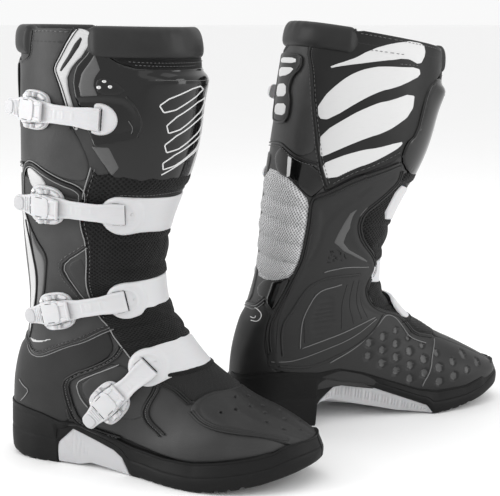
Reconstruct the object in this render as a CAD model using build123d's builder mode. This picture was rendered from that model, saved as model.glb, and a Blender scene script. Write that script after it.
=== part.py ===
"""A pair of off-road riding boots: moulded soles, hollow leather foot and shaft shells, guards, bands and buckles.

Every piece is drawn once for the right boot, in the boot's own frame (x forward from the heel, y towards
the medial side, z up from the floor, millimetres), and is then placed on the floor for each boot of the
pair. The left boot is the mirror image, with its shaft leaning a little further forward.
"""

import math
import os
from build123d import *

os.makedirs("parts", exist_ok=True)

# Overall sizes of one boot
sole_length = 310
sole_heel_height = 36
sole_toe_height = 22
shell_wall = 5
superellipse_power = 2.3
outline_points = 16

# Layers over the leather shells, measured outwards from the shell's surface
skin_gap = 0.5
leather_out = 1.8
catch_in = 2.3
trim_out = 3.0
plate_out = 3.4
pad_in = 3.9
pad_out = 5.2
strap_in = 6.3
strap_out = 8.7
lever_in = 9.3
lever_out = 12.3

# Buckle hardware
strap_width = 19
strap_waist = 16
catch_width = 34
catch_length = 36
ear_thickness = 3.6
ear_offset = 13.4
boss_radius = 2.7
lever_width = 20
lever_tail = 27
lever_nose = 15.8

# Ankle joint
ankle_x = 75
ankle_z = 112
left_lean = 8.5

# Where each boot stands on the floor: yaw of the toe about z, and the place of its middle
boot_middle = 110
right_yaw = -20.5
left_yaw = 22
pair_centre = (36.7, 29.0)
right_place = (-106, -35)
left_place = (96, 90)

# Cross-sections from the collar down: back point, front point (x, z each), half width, middle's y
shaft_sections = [
    (32, 372, 192, 369, 55.5, 0),
    (31, 352, 193, 350, 56, 0),
    (26, 310, 190, 305, 57, 0),
    (20, 265, 178, 262, 54, 0),
    (17, 222, 163, 224, 49, 0),
    (19, 180, 156, 188, 45, 0),
    (20, 150, 157, 163, 43, 0),
    (17, 116, 163, 143, 42, 0),
]
collar_sections = [
    (31, 373.5, 193, 370.5, 56, 0),
    (27, 384, 198, 381, 58.5, 0),
    (31, 396, 191, 393, 55, 0),
    (36, 399, 186, 397, 51, 0),
]
# Cross-sections of the foot, fanning round the ankle: heel or sole point, instep or toe point
foot_sections = [
    (10, 104, 181, 120, 42, 0),
    (4, 76, 196, 103, 42, 0),
    (3, 48, 207, 94, 42, 0),
    (14, 16, 217, 88, 42, -1),
    (70, 8, 227, 81, 42, -1),
    (120, 8, 238, 74, 44, -3),
    (165, 8, 251, 67, 49, -5),
    (205, 8, 265, 60, 50, -4),
    (245, 10, 281, 51, 42, 0),
    (280, 18, 297, 41, 27, 5),
    (297, 26, 304, 36, 12, 8),
]
gusset_top = (17.2, 115.2, 162.8, 142.2, 41.5, 0)
gusset_middle = (13, 110, 170, 130, 39, 0)
gusset_bottom = (10.2, 104.9, 180.6, 120.9, 41.5, 0)

# The sole's outline, anticlockwise from the back of the heel round the lateral side
sole_outline = [
    (2, 0), (12, -28), (40, -38), (70, -39), (110, -41), (150, -47), (190, -59), (220, -62),
    (250, -57), (280, -41), (302, -16), (309, 8), (300, 28), (272, 43), (240, 49), (212, 50),
    (170, 45), (110, 39), (60, 37), (30, 33), (10, 20),
]
sole_top = [(-20, sole_heel_height), (60, 38), (110, 42), (165, 30), (215, sole_toe_height), (265, 22), (295, 29), (330, 42)]
lateral_arch = [(69, -1), (86, 37), (145, -1)]
medial_arch = [(82, -1), (109, 41), (212, -1)]
arch_clearance = 0.5
lateral_hollow = [(92, -2), (102, 5), (124, 5), (134, -2)]
medial_hollow = [(88, -2), (101, 17), (112, 22), (196, -2)]
# The rubber wall that wraps up round the heel, and the bumper at the toe, in side view
heel_cup = [(-20, 20), (-20, 52), (68, 52), (86, 35), (86, 20)]
toe_bumper = [(297, 20), (299, 44), (330, 48), (330, 20)]


def boot_plane(section):
    """The plane of one cross-section: its x runs from the back point to the front one."""
    back_x, back_z, front_x, front_z, half_width, middle_y = section
    origin = ((back_x + front_x) / 2, middle_y, (back_z + front_z) / 2)
    forward = (front_x - back_x, 0, front_z - back_z)
    normal = (-(front_z - back_z), 0, front_x - back_x)
    return Plane(origin=origin, x_dir=forward, z_dir=normal)


def boot_outline(section, grow):
    """Points of the section's superellipse, grown outwards by so many millimetres."""
    back_x, back_z, front_x, front_z, half_width, middle_y = section
    half_length = math.hypot(front_x - back_x, front_z - back_z) / 2 + grow
    points = []
    for step in range(outline_points):
        angle = 2 * math.pi * step / outline_points
        cosine = math.cos(angle)
        sine = math.sin(angle)
        along = math.copysign(abs(cosine) ** (2 / superellipse_power), cosine)
        across = math.copysign(abs(sine) ** (2 / superellipse_power), sine)
        points.append((half_length * along, (half_width + grow) * across))
    return points


def boot_hull(sections, grow=0):
    """A closed solid through the sections, grown outwards by so many millimetres."""
    with BuildPart() as hull:
        for section in sections:
            with BuildSketch(boot_plane(section)):
                with BuildLine():
                    Spline(*boot_outline(section, grow), periodic=True)
                make_face()
        loft()
    return hull.part


hulls = {}


def layer(sections_name, grow):
    """The shaft's or foot's hull at one layer height, made once and kept."""
    if (sections_name, grow) not in hulls:
        sections = shaft_sections if sections_name == "shaft" else foot_sections
        hulls[(sections_name, grow)] = boot_hull(sections, grow)
    return hulls[(sections_name, grow)]


def lean_section(section, degrees):
    """The section turned forward about the ankle's axis."""
    back_x, back_z, front_x, front_z, half_width, middle_y = section
    turned = []
    for x, z in ((back_x, back_z), (front_x, front_z)):
        angle = math.radians(degrees)
        turned.append(ankle_x + (x - ankle_x) * math.cos(angle) + (z - ankle_z) * math.sin(angle))
        turned.append(ankle_z - (x - ankle_x) * math.sin(angle) + (z - ankle_z) * math.cos(angle))
    return (turned[0], turned[1], turned[2], turned[3], half_width, middle_y)


def side_prism(corners, low_y, high_y):
    """A side-view outline in x and z, pushed across the boot between two y values."""
    with BuildPart() as prism:
        with BuildSketch(Plane.XZ.offset(-high_y)):
            with BuildLine():
                Polyline(*corners, close=True)
            make_face()
        extrude(amount=high_y - low_y)
    return prism.part


def skin(sections_name, low, high, prism):
    """What lies inside the prism between two layer heights over the shaft or the foot."""
    with BuildPart() as piece:
        add(prism)
        add(layer(sections_name, high), mode=Mode.INTERSECT)
        add(layer(sections_name, low), mode=Mode.SUBTRACT)
    return piece.part


def sole_line(low_x, high_x, rise):
    """Points along the sole's top from one x to another, raised by so many millimetres."""
    points = []
    for (x0, z0), (x1, z1) in zip(sole_top, sole_top[1:]):
        for x in (low_x, high_x):
            if x0 <= x < x1:
                points.append((x, z0 + (z1 - z0) * (x - x0) / (x1 - x0) + rise))
        if low_x < x1 < high_x:
            points.append((x1, z1 + rise))
    return sorted(points)


def sole_slab(low_x, high_x, low_y, high_y, low, high):
    """A bent plate lying along the sole's top."""
    corners = sole_line(low_x, high_x, low) + sole_line(low_x, high_x, high)[::-1]
    return side_prism(corners, low_y, high_y)


def arch_solid(lateral, medial, clearance):
    """A solid under the arch, ruled from the lateral side's outline to the medial side's one."""
    with BuildPart() as wedge:
        for arch, side_y in ((lateral, 70), (medial, -70)):
            with BuildSketch(Plane.XZ.offset(side_y)):
                with BuildLine():
                    Polyline(*arch, close=True)
                make_face()
                if clearance:
                    offset(amount=clearance, kind=Kind.INTERSECTION)
        loft(ruled=True)
    return wedge.part


def sole_block(base_z):
    """The sole's outline extruded upwards from one height."""
    with BuildPart() as block:
        with BuildSketch(Plane.XY.offset(base_z)):
            with BuildLine():
                Spline(*sole_outline, periodic=True)
            make_face()
        extrude(amount=60)
    return block.part


under_sole = side_prism([(x, z + skin_gap) for x, z in sole_top] + [(330, -40), (-20, -40)], -90, 90)

# ---- Foot pieces

sole_profile = sole_top + [(330, 24), (306, 12), (264, 0), (10, 0), (0, 9), (-20, 9)]
tread_places = [22, 34, 46, 58] + [158 + 11 * step for step in range(10)]
with BuildPart() as bumper:
    add(sole_block(0))
    add(side_prism(toe_bumper, -90, 90), mode=Mode.INTERSECT)
    add(layer("foot", skin_gap), mode=Mode.SUBTRACT)

with BuildPart() as outsole:
    add(sole_block(0))
    add(side_prism(sole_profile, -90, 90), mode=Mode.INTERSECT)
    for tread_x in tread_places:
        with Locations((tread_x, 0, 0)):
            Box(3.5, 160, 5, mode=Mode.SUBTRACT)
    add(bumper.part)
    add(skin("foot", skin_gap, trim_out, side_prism(heel_cup, -90, 90)))
    add(arch_solid(lateral_arch, medial_arch, arch_clearance), mode=Mode.SUBTRACT)

with BuildPart() as arch_insert:
    add(sole_block(0.3))
    add(arch_solid(lateral_arch, medial_arch, 0), mode=Mode.INTERSECT)
    add(arch_solid(lateral_hollow, medial_hollow, 0), mode=Mode.SUBTRACT)

with BuildPart() as shank:
    add(sole_slab(74, 158, -12, 12, 1.2, 3.2))

with BuildPart() as footbed:
    add(sole_slab(8, 285, -70, 70, 0.7, 6.0))
    add(layer("foot", -shell_wall - 0.7), mode=Mode.INTERSECT)
    add(sole_slab(73, 159, -13, 13, 0.2, 3.8), mode=Mode.SUBTRACT)

with BuildPart() as foot_shell:
    add(layer("foot", 0))
    add(layer("foot", -shell_wall), mode=Mode.SUBTRACT)
    add(under_sole, mode=Mode.SUBTRACT)

toe_outline = [(198, 68), (212, 84), (240, 82), (294, 60), (294, 31), (261, 38), (215, 50)]
with BuildPart() as toe_guard:
    add(skin("foot", skin_gap, trim_out, side_prism(toe_outline, -80, 12)))
    add(under_sole, mode=Mode.SUBTRACT)

inner_outline = [
    (12, 97), (150, 109), (184, 110), (204, 90), (232, 71), (262, 50), (286, 38), (286, 5), (92, 5), (92, 38), (74, 54),
    (12, 54),
]
with BuildPart() as inner_guard:
    add(skin("foot", skin_gap, trim_out, side_prism(inner_outline, 20, 90)))
    add(under_sole, mode=Mode.SUBTRACT)


def band(sections_name, pad_centre, pad_radius, corners, medial_y):
    """A strap's anchor band: a strip round the boot's front that ends in a thicker round pad."""
    with BuildPart() as disc:
        with BuildSketch(Plane.XZ):
            with Locations(pad_centre):
                Circle(pad_radius)
        extrude(amount=80)
    with BuildPart() as piece:
        add(skin(sections_name, skin_gap, trim_out, side_prism(corners, -80, medial_y)))
        add(skin(sections_name, skin_gap, pad_out, disc.part))
    return piece.part


instep_corners = [(156, 117), (180, 125), (214, 102), (196, 85), (160, 84)]
instep_band = band("foot", (160, 100), 17, instep_corners, 17)

# ---- Shaft pieces

with BuildPart() as shaft_shell:
    add(layer("shaft", 0))
    add(layer("shaft", -shell_wall), mode=Mode.SUBTRACT)

with BuildPart() as collar:
    add(boot_hull(collar_sections))
    add(boot_hull(collar_sections, -11), mode=Mode.SUBTRACT)

shin_lateral = [(104, 366), (103, 350), (115, 312), (125, 290), (141, 264), (166, 254.5), (215, 254), (215, 366)]
shin_medial = [(172, 366), (160, 342), (151, 318), (143, 292), (150, 272), (168, 256), (215, 254), (215, 366)]
with BuildPart() as shin_plate:
    add(skin("shaft", skin_gap, plate_out, side_prism(shin_lateral, -80, 0)))
    add(skin("shaft", skin_gap, plate_out, side_prism(shin_medial, 0, 80)))

calf_corners = [
    (5, 368), (97, 368), (97, 352), (109, 314), (118, 290), (112, 252), (106, 200), (107, 165), (114, 141), (5, 121),
]
with BuildPart() as calf_panel:
    add(skin("shaft", skin_gap, leather_out, side_prism(calf_corners, -80, -6)))

inner_corners = [
    (40, 368), (164, 366), (153, 343), (144, 318), (136, 293), (136, 284), (80, 275), (62, 262), (46, 262), (38, 320),
]
with BuildPart() as inner_panel:
    add(skin("shaft", skin_gap, leather_out, side_prism(inner_corners, 6, 80)))

with BuildPart() as patch_prism:
    with BuildSketch(Plane.YZ.offset(-5)):
        with BuildLine():
            Polyline((-19, 362), (21, 362), (23, 340), (18, 302), (0, 296), (-14, 302), close=True)
        make_face()
    extrude(amount=60)
with BuildPart() as rear_patch:
    add(skin("shaft", catch_in, plate_out + 0.6, patch_prism.part))

shin_corners = [(141, 251), (200, 249), (200, 217), (141, 219)]
shin_band = band("shaft", (141, 235), 17.5, shin_corners, 17)
ankle_corners = [(139, 173), (190, 177), (190, 149), (139, 141)]
ankle_band = band("shaft", (139, 158), 16.5, ankle_corners, 17)


# ---- Straps, levers and catches

# Where each unit's catch and anchor slot are on the boot's surface, with the catch's normal
units = {
    "upper": ("shaft", (67, -51, 325), (130, -56, 319), (-0.33, -0.94, 0.07)),
    "middle": ("shaft", (75, -51, 243), (141, -41, 237), (-0.12, -0.99, -0.08)),
    "lower": ("shaft", (77, -42.5, 146), (137, -34, 158), (-0.06, -1.0, 0.0)),
    "instep": ("foot", (127, -42, 66), (160, -33, 101), (0.05, -0.99, 0.08)),
}


def unit_planes(unit):
    """The strap's plane (x from catch to slot, z outwards), the catch's plane and the strap's length."""
    sections_name, catch_point, slot_point, catch_normal = units[unit]
    catch = Vector(*catch_point)
    slot = Vector(*slot_point)
    along = slot - catch
    across = Vector(*catch_normal).cross(along).normalized()
    outward = along.cross(across).normalized()
    strap_plane = Plane(origin=catch, x_dir=along, z_dir=outward)
    normal = Vector(*catch_normal)
    normal = (normal - across * normal.dot(across)).normalized()
    catch_plane = Plane(origin=catch, x_dir=across.cross(normal), z_dir=normal)
    return strap_plane, catch_plane, along.length


def strap_piece(unit):
    """The strap: a strip that follows the boot from under the lever to the anchor's slot."""
    strap_plane, catch_plane, length = unit_planes(unit)
    half = strap_width / 2
    waist = strap_waist / 2
    with BuildPart() as prism:
        with BuildSketch(strap_plane.offset(-12)):
            with BuildLine():
                Polyline(
                    (-1, -half), (14, -half), (24, -waist), (length - 20, -waist), (length - 8, -half), (length + 1, -half),
                    (length + 1, half), (length - 8, half), (length - 20, waist), (24, waist), (14, half), (-1, half),
                    close=True,
                )
            make_face()
        extrude(amount=40)
    return skin(units[unit][0], strap_in, strap_out, prism.part)


def lever_piece(unit):
    """The lever: a flat tapered plate over the catch, with a round nose it turns on and a finger tab at its tail."""
    strap_plane, catch_plane, length = unit_planes(unit)
    half = lever_width / 2
    nose_radius = (lever_out - lever_in) / 2
    nose_plane = Plane(
        origin=catch_plane.from_local_coords((lever_nose, -half + 1, lever_in + nose_radius)),
        x_dir=catch_plane.x_dir,
        z_dir=catch_plane.y_dir,
    )
    with BuildPart() as lever:
        with BuildSketch(catch_plane.offset(lever_in)):
            with BuildLine():
                Polyline(
                    (lever_nose, -half + 1), (2, -half), (-lever_tail + 10, -half + 1), (-lever_tail, -half + 4),
                    (-lever_tail, half - 4), (-lever_tail + 10, half - 1), (2, half), (lever_nose, half - 1), close=True,
                )
            make_face()
        extrude(amount=lever_out - lever_in)
        with BuildSketch(catch_plane.offset(lever_out)):
            with Locations((-lever_tail + 5.5, 0)):
                RectangleRounded(9, 11, 2)
        extrude(amount=1.2)
        with BuildSketch(nose_plane):
            Circle(nose_radius)
        extrude(amount=lever_width - 2)
    return lever.part


def catch_piece(unit):
    """The catch: a base plate riveted to the boot, with an ear and a boss each side of the lever."""
    strap_plane, catch_plane, length = unit_planes(unit)
    with BuildPart() as prism:
        with BuildSketch(catch_plane.offset(-12)):
            with Locations((1, 0)):
                RectangleRounded(catch_length, catch_width, 9)
        extrude(amount=24)
    with BuildPart() as piece:
        add(skin(units[unit][0], catch_in, pad_out, prism.part))
        for side in (-1, 1):
            with BuildSketch(catch_plane.offset(3.7)):
                with Locations((-1, side * ear_offset)):
                    Rectangle(11, ear_thickness)
            extrude(amount=5.5)
            boss_plane = Plane(
                origin=catch_plane.from_local_coords((-1, side * ear_offset - ear_thickness / 2, 9.2)),
                x_dir=catch_plane.x_dir,
                z_dir=catch_plane.y_dir,
            )
            with BuildSketch(boss_plane):
                Circle(boss_radius)
            extrude(amount=ear_thickness)
    return piece.part


def upper_anchor_piece():
    """The D-shaped cap on the shin plate that the upper strap hooks into."""
    strap_plane, catch_plane, length = unit_planes("upper")
    with BuildPart() as prism:
        with BuildSketch(strap_plane.offset(-12)):
            with Locations((length, 0)):
                Ellipse(15, 13.5)
            with Locations((length - 15, 0)):
                Rectangle(16, 40, mode=Mode.SUBTRACT)
        extrude(amount=40)
    return skin("shaft", pad_in, pad_out, prism.part)


# ---- Placing and writing

foot_pieces = {
    "outsole": outsole.part,
    "arch_insert": arch_insert.part,
    "shank": shank.part,
    "footbed": footbed.part,
    "foot_shell": foot_shell.part,
    "toe_guard": toe_guard.part,
    "inner_guard": inner_guard.part,
    "instep_band": instep_band,
    "instep_catch": catch_piece("instep"),
    "instep_strap": strap_piece("instep"),
    "instep_lever": lever_piece("instep"),
}
shaft_pieces = {
    "shaft_shell": shaft_shell.part,
    "collar": collar.part,
    "shin_plate": shin_plate.part,
    "calf_panel": calf_panel.part,
    "inner_panel": inner_panel.part,
    "rear_patch": rear_patch.part,
    "upper_anchor": upper_anchor_piece(),
    "shin_band": shin_band,
    "ankle_band": ankle_band,
}
for unit in ("upper", "middle", "lower"):
    shaft_pieces[unit + "_catch"] = catch_piece(unit)
    shaft_pieces[unit + "_strap"] = strap_piece(unit)
    shaft_pieces[unit + "_lever"] = lever_piece(unit)


def gusset_piece(lean):
    """The soft pleated ring that closes the gap at the ankle, between the shaft and the foot."""
    sections = [lean_section(gusset_top, lean), lean_section(gusset_middle, lean / 2), gusset_bottom]
    return boot_hull(sections) - boot_hull(sections, -shell_wall + 1)


def stand(piece, side, lean):
    """Moves a piece from the boot's own frame to its place on the floor."""
    if side == "left":
        piece = mirror(piece, about=Plane.XZ)
    if lean:
        piece = piece.rotate(Axis((ankle_x, 0, ankle_z), (0, 1, 0)), lean)
    yaw = right_yaw if side == "right" else left_yaw
    place = right_place if side == "right" else left_place
    piece = piece.rotate(Axis((boot_middle, 0, 0), (0, 0, 1)), yaw)
    shift = (place[0] - boot_middle - pair_centre[0], place[1] - pair_centre[1], 0)
    return piece.translate(shift)


for side in ("right", "left"):
    lean = left_lean if side == "left" else 0
    pieces = {name: (piece, 0) for name, piece in foot_pieces.items()}
    pieces.update({name: (piece, lean) for name, piece in shaft_pieces.items()})
    pieces["ankle_gusset"] = (gusset_piece(lean), 0)
    for name, (piece, piece_lean) in pieces.items():
        placed = stand(piece, side, piece_lean)
        placed.label = f"{side}_{name}"
        export_step(placed, f"parts/{side}_{name}.step")
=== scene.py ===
"""Looks of a pair of off-road riding boots: leather, mesh, guards, soles, bands, straps and buckles.

Both boots are drawn from one description in the boot's own frame (millimetres: x forward from the heel,
y towards the medial side, z up from the floor). boot_to_world() mirrors it for the left boot, leans the
left shaft and stands each boot in its place.
"""
import math
import random

import bpy
import numpy as np
from mathutils import Matrix, Vector, geometry


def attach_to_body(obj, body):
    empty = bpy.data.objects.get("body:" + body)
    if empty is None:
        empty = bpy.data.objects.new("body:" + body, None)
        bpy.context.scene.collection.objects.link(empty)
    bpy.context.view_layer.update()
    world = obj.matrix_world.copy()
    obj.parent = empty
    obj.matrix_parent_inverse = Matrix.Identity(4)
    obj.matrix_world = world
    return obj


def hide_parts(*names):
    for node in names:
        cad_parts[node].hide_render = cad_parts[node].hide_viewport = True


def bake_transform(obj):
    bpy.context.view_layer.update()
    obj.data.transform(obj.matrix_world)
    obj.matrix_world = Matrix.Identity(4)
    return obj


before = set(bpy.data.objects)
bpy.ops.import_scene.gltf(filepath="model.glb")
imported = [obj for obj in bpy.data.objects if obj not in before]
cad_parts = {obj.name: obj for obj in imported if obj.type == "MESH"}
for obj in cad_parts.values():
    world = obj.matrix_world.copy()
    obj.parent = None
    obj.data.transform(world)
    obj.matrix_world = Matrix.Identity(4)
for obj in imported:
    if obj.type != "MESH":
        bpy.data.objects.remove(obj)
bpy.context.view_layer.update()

# Millimetres in a metre
MM = 1000.0

# ---------------------------------------------------------------- where the boots stand

ANKLE_X, ANKLE_Z = 75.0, 112.0
BOOT_MIDDLE = 110.0
PAIR_CENTRE = (36.7, 29.0)
YAW = {"right": math.radians(-20.5), "left": math.radians(22.0)}
PLACE = {"right": (-106.0, -35.0), "left": (96.0, 90.0)}
LEAN = {"right": 0.0, "left": math.radians(8.5)}
BEND_LOW_Z, BEND_HIGH_Z = 98.0, 136.0
# How far a piece on each part follows the shaft; None leaves it to each point's height
SHARE = {"shaft": 1.0, "both": None, "foot": 0.0}
SIDES = ("right", "left")


def smooth(t):
    """The smoothstep of t, clipped to 0..1."""
    t = np.clip(t, 0, 1)
    return t * t * (3 - 2 * t)


def shaft_share(points):
    """How far each point follows the shaft, from 0 on the foot to 1 on the shaft."""
    return smooth((points[..., 2] - BEND_LOW_Z) / (BEND_HIGH_Z - BEND_LOW_Z))


def boot_to_world(points, side, share=None):
    """Boot-frame points in mm to row-frame points in metres; share is how far they follow the shaft."""
    points = np.array(points, float)
    if share is None:
        share = shaft_share(points)
    x, y, z = points[..., 0], points[..., 1], points[..., 2]
    if side == "left":
        y = -y
    angle = LEAN[side] * share
    dx, dz = x - ANKLE_X, z - ANKLE_Z
    x = ANKLE_X + dx * np.cos(angle) + dz * np.sin(angle)
    z = ANKLE_Z - dx * np.sin(angle) + dz * np.cos(angle)
    c, s = math.cos(YAW[side]), math.sin(YAW[side])
    dx = x - BOOT_MIDDLE
    world_x = dx * c - y * s + PLACE[side][0] - PAIR_CENTRE[0]
    world_y = dx * s + y * c + PLACE[side][1] - PAIR_CENTRE[1]
    return np.stack([world_x, world_y, z], -1) / MM


# ---------------------------------------------------------------- the boot's surface

POWER = 2.3
# Back point, front point (x, z each), half width and middle's y, from the collar round the ankle to the toe
SECTIONS = np.array([
    (33, 397, 189, 394, 54, 0),
    (32, 372, 192, 369, 55.5, 0), (31, 352, 193, 350, 56, 0), (26, 310, 190, 305, 57, 0),
    (20, 265, 178, 262, 54, 0), (17, 222, 163, 224, 49, 0), (19, 180, 156, 188, 45, 0),
    (20, 150, 157, 163, 43, 0), (17, 116, 163, 143, 42, 0), (10, 104, 181, 120, 42, 0),
    (4, 76, 196, 103, 42, 0), (3, 48, 207, 94, 42, 0), (14, 16, 217, 88, 42, -1),
    (70, 8, 227, 81, 42, -1), (120, 8, 238, 74, 44, -3), (165, 8, 251, 67, 49, -5),
    (205, 8, 265, 60, 50, -4), (245, 10, 281, 51, 42, 0), (280, 18, 297, 41, 27, 5),
    (297, 26, 304, 36, 12, 8), (303, 29, 306, 33, 2, 9),
], float)
TOP = -1.0  # the rim's place; 0 is the collar's lower edge, 8 the ankle, LAST the tip of the toe
LAST = len(SECTIONS) - 2.0


def spline_slopes(values):
    """Slopes of a natural cubic spline through values at 0, 1, 2..."""
    n = len(values)
    system = np.zeros((n, n))
    right = np.zeros_like(values)
    system[0, 0], system[0, 1] = 2, 1
    right[0] = 3 * (values[1] - values[0])
    for i in range(1, n - 1):
        system[i, i - 1], system[i, i], system[i, i + 1] = 1, 4, 1
        right[i] = 3 * (values[i + 1] - values[i - 1])
    system[n - 1, n - 2], system[n - 1, n - 1] = 1, 2
    right[n - 1] = 3 * (values[n - 1] - values[n - 2])
    return np.linalg.solve(system, right)


SLOPES = spline_slopes(SECTIONS)


def section_at(u):
    """The section's six numbers at the fractional place u down the boot."""
    u = np.clip(np.asarray(u, float), TOP, LAST) - TOP
    i = np.minimum(u.astype(int), len(SECTIONS) - 2)
    t = (u - i)[..., None]
    a, b, da, db = SECTIONS[i], SECTIONS[i + 1], SLOPES[i], SLOPES[i + 1]
    rest = 1 - t
    return a * (1 + 2 * t) * rest ** 2 + da * t * rest ** 2 + b * t * t * (3 - 2 * t) + db * t * t * (t - 1)


def back_trim(z):
    """How far the back of the soft skin lies inside its plain section at a height (mm)."""
    return (5.0 + 11.0 * smooth((z - 30) / 140)) * (1 - smooth((z - 210) / 170))


def surface(u, angle, out=0.0):
    """Boot-frame points: angle (degrees) is 0 at the back, 90 lateral, 180 at the front, 270 medial."""
    section = section_at(u)
    back, front = section[..., 0:2], section[..., 2:4]
    centre, half = (back + front) / 2, (front - back) / 2
    length = np.linalg.norm(half, axis=-1)
    direction = half / length[..., None]
    radians = np.radians(angle)
    c, s = np.cos(radians), np.sin(radians)
    along = np.sign(c) * np.abs(c) ** (2 / POWER) * (length + out)
    across = np.sign(s) * np.abs(s) ** (2 / POWER) * (section[..., 4] + out)
    x = centre[..., 0] - direction[..., 0] * along
    z = centre[..., 1] - direction[..., 1] * along
    x = x + back_trim(z) * np.clip(c, 0, 1) ** 2.4
    return np.stack([x, section[..., 5] - across, z], -1)


_lookup_u, _lookup_a = np.meshgrid(np.linspace(TOP, LAST, 520), np.arange(0, 360, 1.0), indexing="ij")
_lookup = surface(_lookup_u, _lookup_a)


def settle(guess, wanted, axes, out=0.0, rounds=8):
    """Moves (u, angle) guesses until the surface point's parts along two axes are the wanted ones."""
    ua = np.array(guess, float)
    wanted = np.asarray(wanted, float)
    axes = np.asarray(axes, float)

    def miss(at):
        return surface(at[:, 0], at[:, 1], out) @ axes.T - wanted

    for _ in range(rounds):
        here = miss(ua)
        du = (miss(ua + (0.02, 0)) - here) / 0.02
        da = (miss(ua + (0, 0.5)) - here) / 0.5
        det = du[:, 0] * da[:, 1] - du[:, 1] * da[:, 0]
        det = np.where(np.abs(det) < 0.5, 1e9, det)
        step_u = (here[:, 0] * da[:, 1] - here[:, 1] * da[:, 0]) / det
        step_a = (du[:, 0] * here[:, 1] - du[:, 1] * here[:, 0]) / det
        trial = ua - np.stack([np.clip(step_u, -0.2, 0.2), np.clip(step_a, -4, 4)], -1)
        better = np.linalg.norm(miss(trial), axis=1) < np.linalg.norm(here, axis=1)
        ua = np.where(better[:, None], trial, ua)
    return ua


def on_side(letter, points):
    """(x, z) points of a side view to (u, angle) on the surface: L is lateral, M medial."""
    points = np.asarray(points, float)
    mask = np.where((_lookup_a <= 180) if letter == "L" else (_lookup_a >= 180), 0, 1e6)
    found = []
    for x, z in points:
        i = np.argmin(np.hypot(_lookup[..., 0] - x, _lookup[..., 2] - z) + mask)
        found.append((_lookup_u.flat[i], _lookup_a.flat[i]))
    return settle(found, points, [(1, 0, 0), (0, 0, 1)])


# One millimetre-like flat map of the surface, used for cutting panels and for texture coordinates
U_SCALE, A_SCALE = 36.0, 1.15


def to_flat(ua):
    ua = np.asarray(ua, float)
    return np.stack([ua[..., 1] * A_SCALE, -ua[..., 0] * U_SCALE], -1)


def from_flat(flat):
    flat = np.asarray(flat, float)
    return -flat[..., 1] / U_SCALE, flat[..., 0] / A_SCALE


# ---------------------------------------------------------------- mesh helpers

MATERIALS = {}


def new_mesh(name, verts, faces, material, flat=None, smooth_shading=True):
    """A mesh object from world points; flat gives texture coordinates in mm, one pair per vertex."""
    mesh = bpy.data.meshes.new(name)
    mesh.from_pydata([tuple(v) for v in verts], [], [tuple(f) for f in faces])
    mesh.update()
    obj = bpy.data.objects.new(name, mesh)
    bpy.context.collection.objects.link(obj)
    for one in material if isinstance(material, (list, tuple)) else [material]:
        mesh.materials.append(MATERIALS[one])
    if flat is not None:
        layer = mesh.uv_layers.new(name="UVMap")
        index = np.empty(len(mesh.loops), int)
        mesh.loops.foreach_get("vertex_index", index)
        layer.data.foreach_set("uv", (np.asarray(flat)[index] / 10.0).astype(np.float32).ravel())
    if smooth_shading:
        mesh.polygons.foreach_set("use_smooth", [True] * len(mesh.polygons))
    return obj


def fix_winding(side, faces):
    """The left boot is a mirror image, so its faces are turned over."""
    return [f[::-1] for f in faces] if side == "left" else faces


class Gather:
    """Collects many small meshes of one material into one object."""

    def __init__(self, name, material):
        self.name, self.material = name, material
        self.verts, self.faces, self.count = [], [], 0

    def add(self, verts, faces):
        self.verts.append(np.asarray(verts, float))
        self.faces += [tuple(i + self.count for i in f) for f in faces]
        self.count += len(verts)

    def build(self, sharp=None):
        if not self.count:
            return None
        obj = new_mesh(self.name, np.concatenate(self.verts), self.faces, self.material)
        if sharp:
            obj.data.set_sharp_from_angle(angle=math.radians(sharp))
        return obj


def grid_faces(rows, columns, closed=False):
    """Quads over a grid of rows x columns points; closed joins the last column to the first."""
    faces = []
    last = columns if closed else columns - 1
    for r in range(rows - 1):
        for c in range(last):
            d = (c + 1) % columns
            faces.append((r * columns + c, (r + 1) * columns + c, (r + 1) * columns + d, r * columns + d))
    return faces


def resample(points, step, closed):
    """Points at even spacing along a line of flat points."""
    points = np.asarray(points, float)
    if closed:
        points = np.vstack([points, points[:1]])
    lengths = np.r_[0, np.cumsum(np.linalg.norm(np.diff(points, axis=0), axis=1))]
    count = max(4, int(round(lengths[-1] / step)))
    wanted = np.linspace(0, lengths[-1], count + 1)
    out = np.stack([np.interp(wanted, lengths, points[:, k]) for k in range(points.shape[1])], -1)
    return out[:-1] if closed else out


def soften(points, rounds, closed):
    """Rounds the corners of a line of points by cutting them."""
    points = np.asarray(points, float)
    for _ in range(rounds):
        following = np.roll(points, -1, 0) if closed else points[1:]
        first = points if closed else points[:-1]
        a, b = first * 0.78 + following * 0.22, first * 0.22 + following * 0.78
        cut = np.empty((2 * len(a), points.shape[1]))
        cut[0::2], cut[1::2] = a, b
        points = cut if closed else np.vstack([points[:1], cut, points[-1:]])
    return points


def inside(points, polygon):
    """Which flat points lie in the polygon."""
    x, y = points[:, 0], points[:, 1]
    result = np.zeros(len(points), bool)
    a = polygon
    b = np.roll(polygon, -1, 0)
    for (x0, y0), (x1, y1) in zip(a, b):
        crosses = (y0 > y) != (y1 > y)
        with np.errstate(divide="ignore", invalid="ignore"):
            at = (x1 - x0) * (y - y0) / (y1 - y0 + 1e-12) + x0
        result ^= crosses & (x < at)
    return result


def edge_distance(points, polygon):
    """Distance from each flat point to the polygon's edge."""
    best = np.full(len(points), 1e9)
    a, b = polygon, np.roll(polygon, -1, 0)
    for p, q in zip(a, b):
        d = q - p
        t = np.clip(((points - p) @ d) / (d @ d + 1e-12), 0, 1)
        best = np.minimum(best, np.linalg.norm(points - p - t[:, None] * d, axis=1))
    return best


def signed_area(polygon):
    """Twice the polygon's area, above 0 when its points run anticlockwise."""
    following = np.roll(polygon, -1, 0)
    return np.sum(polygon[:, 0] * following[:, 1] - following[:, 0] * polygon[:, 1])


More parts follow.
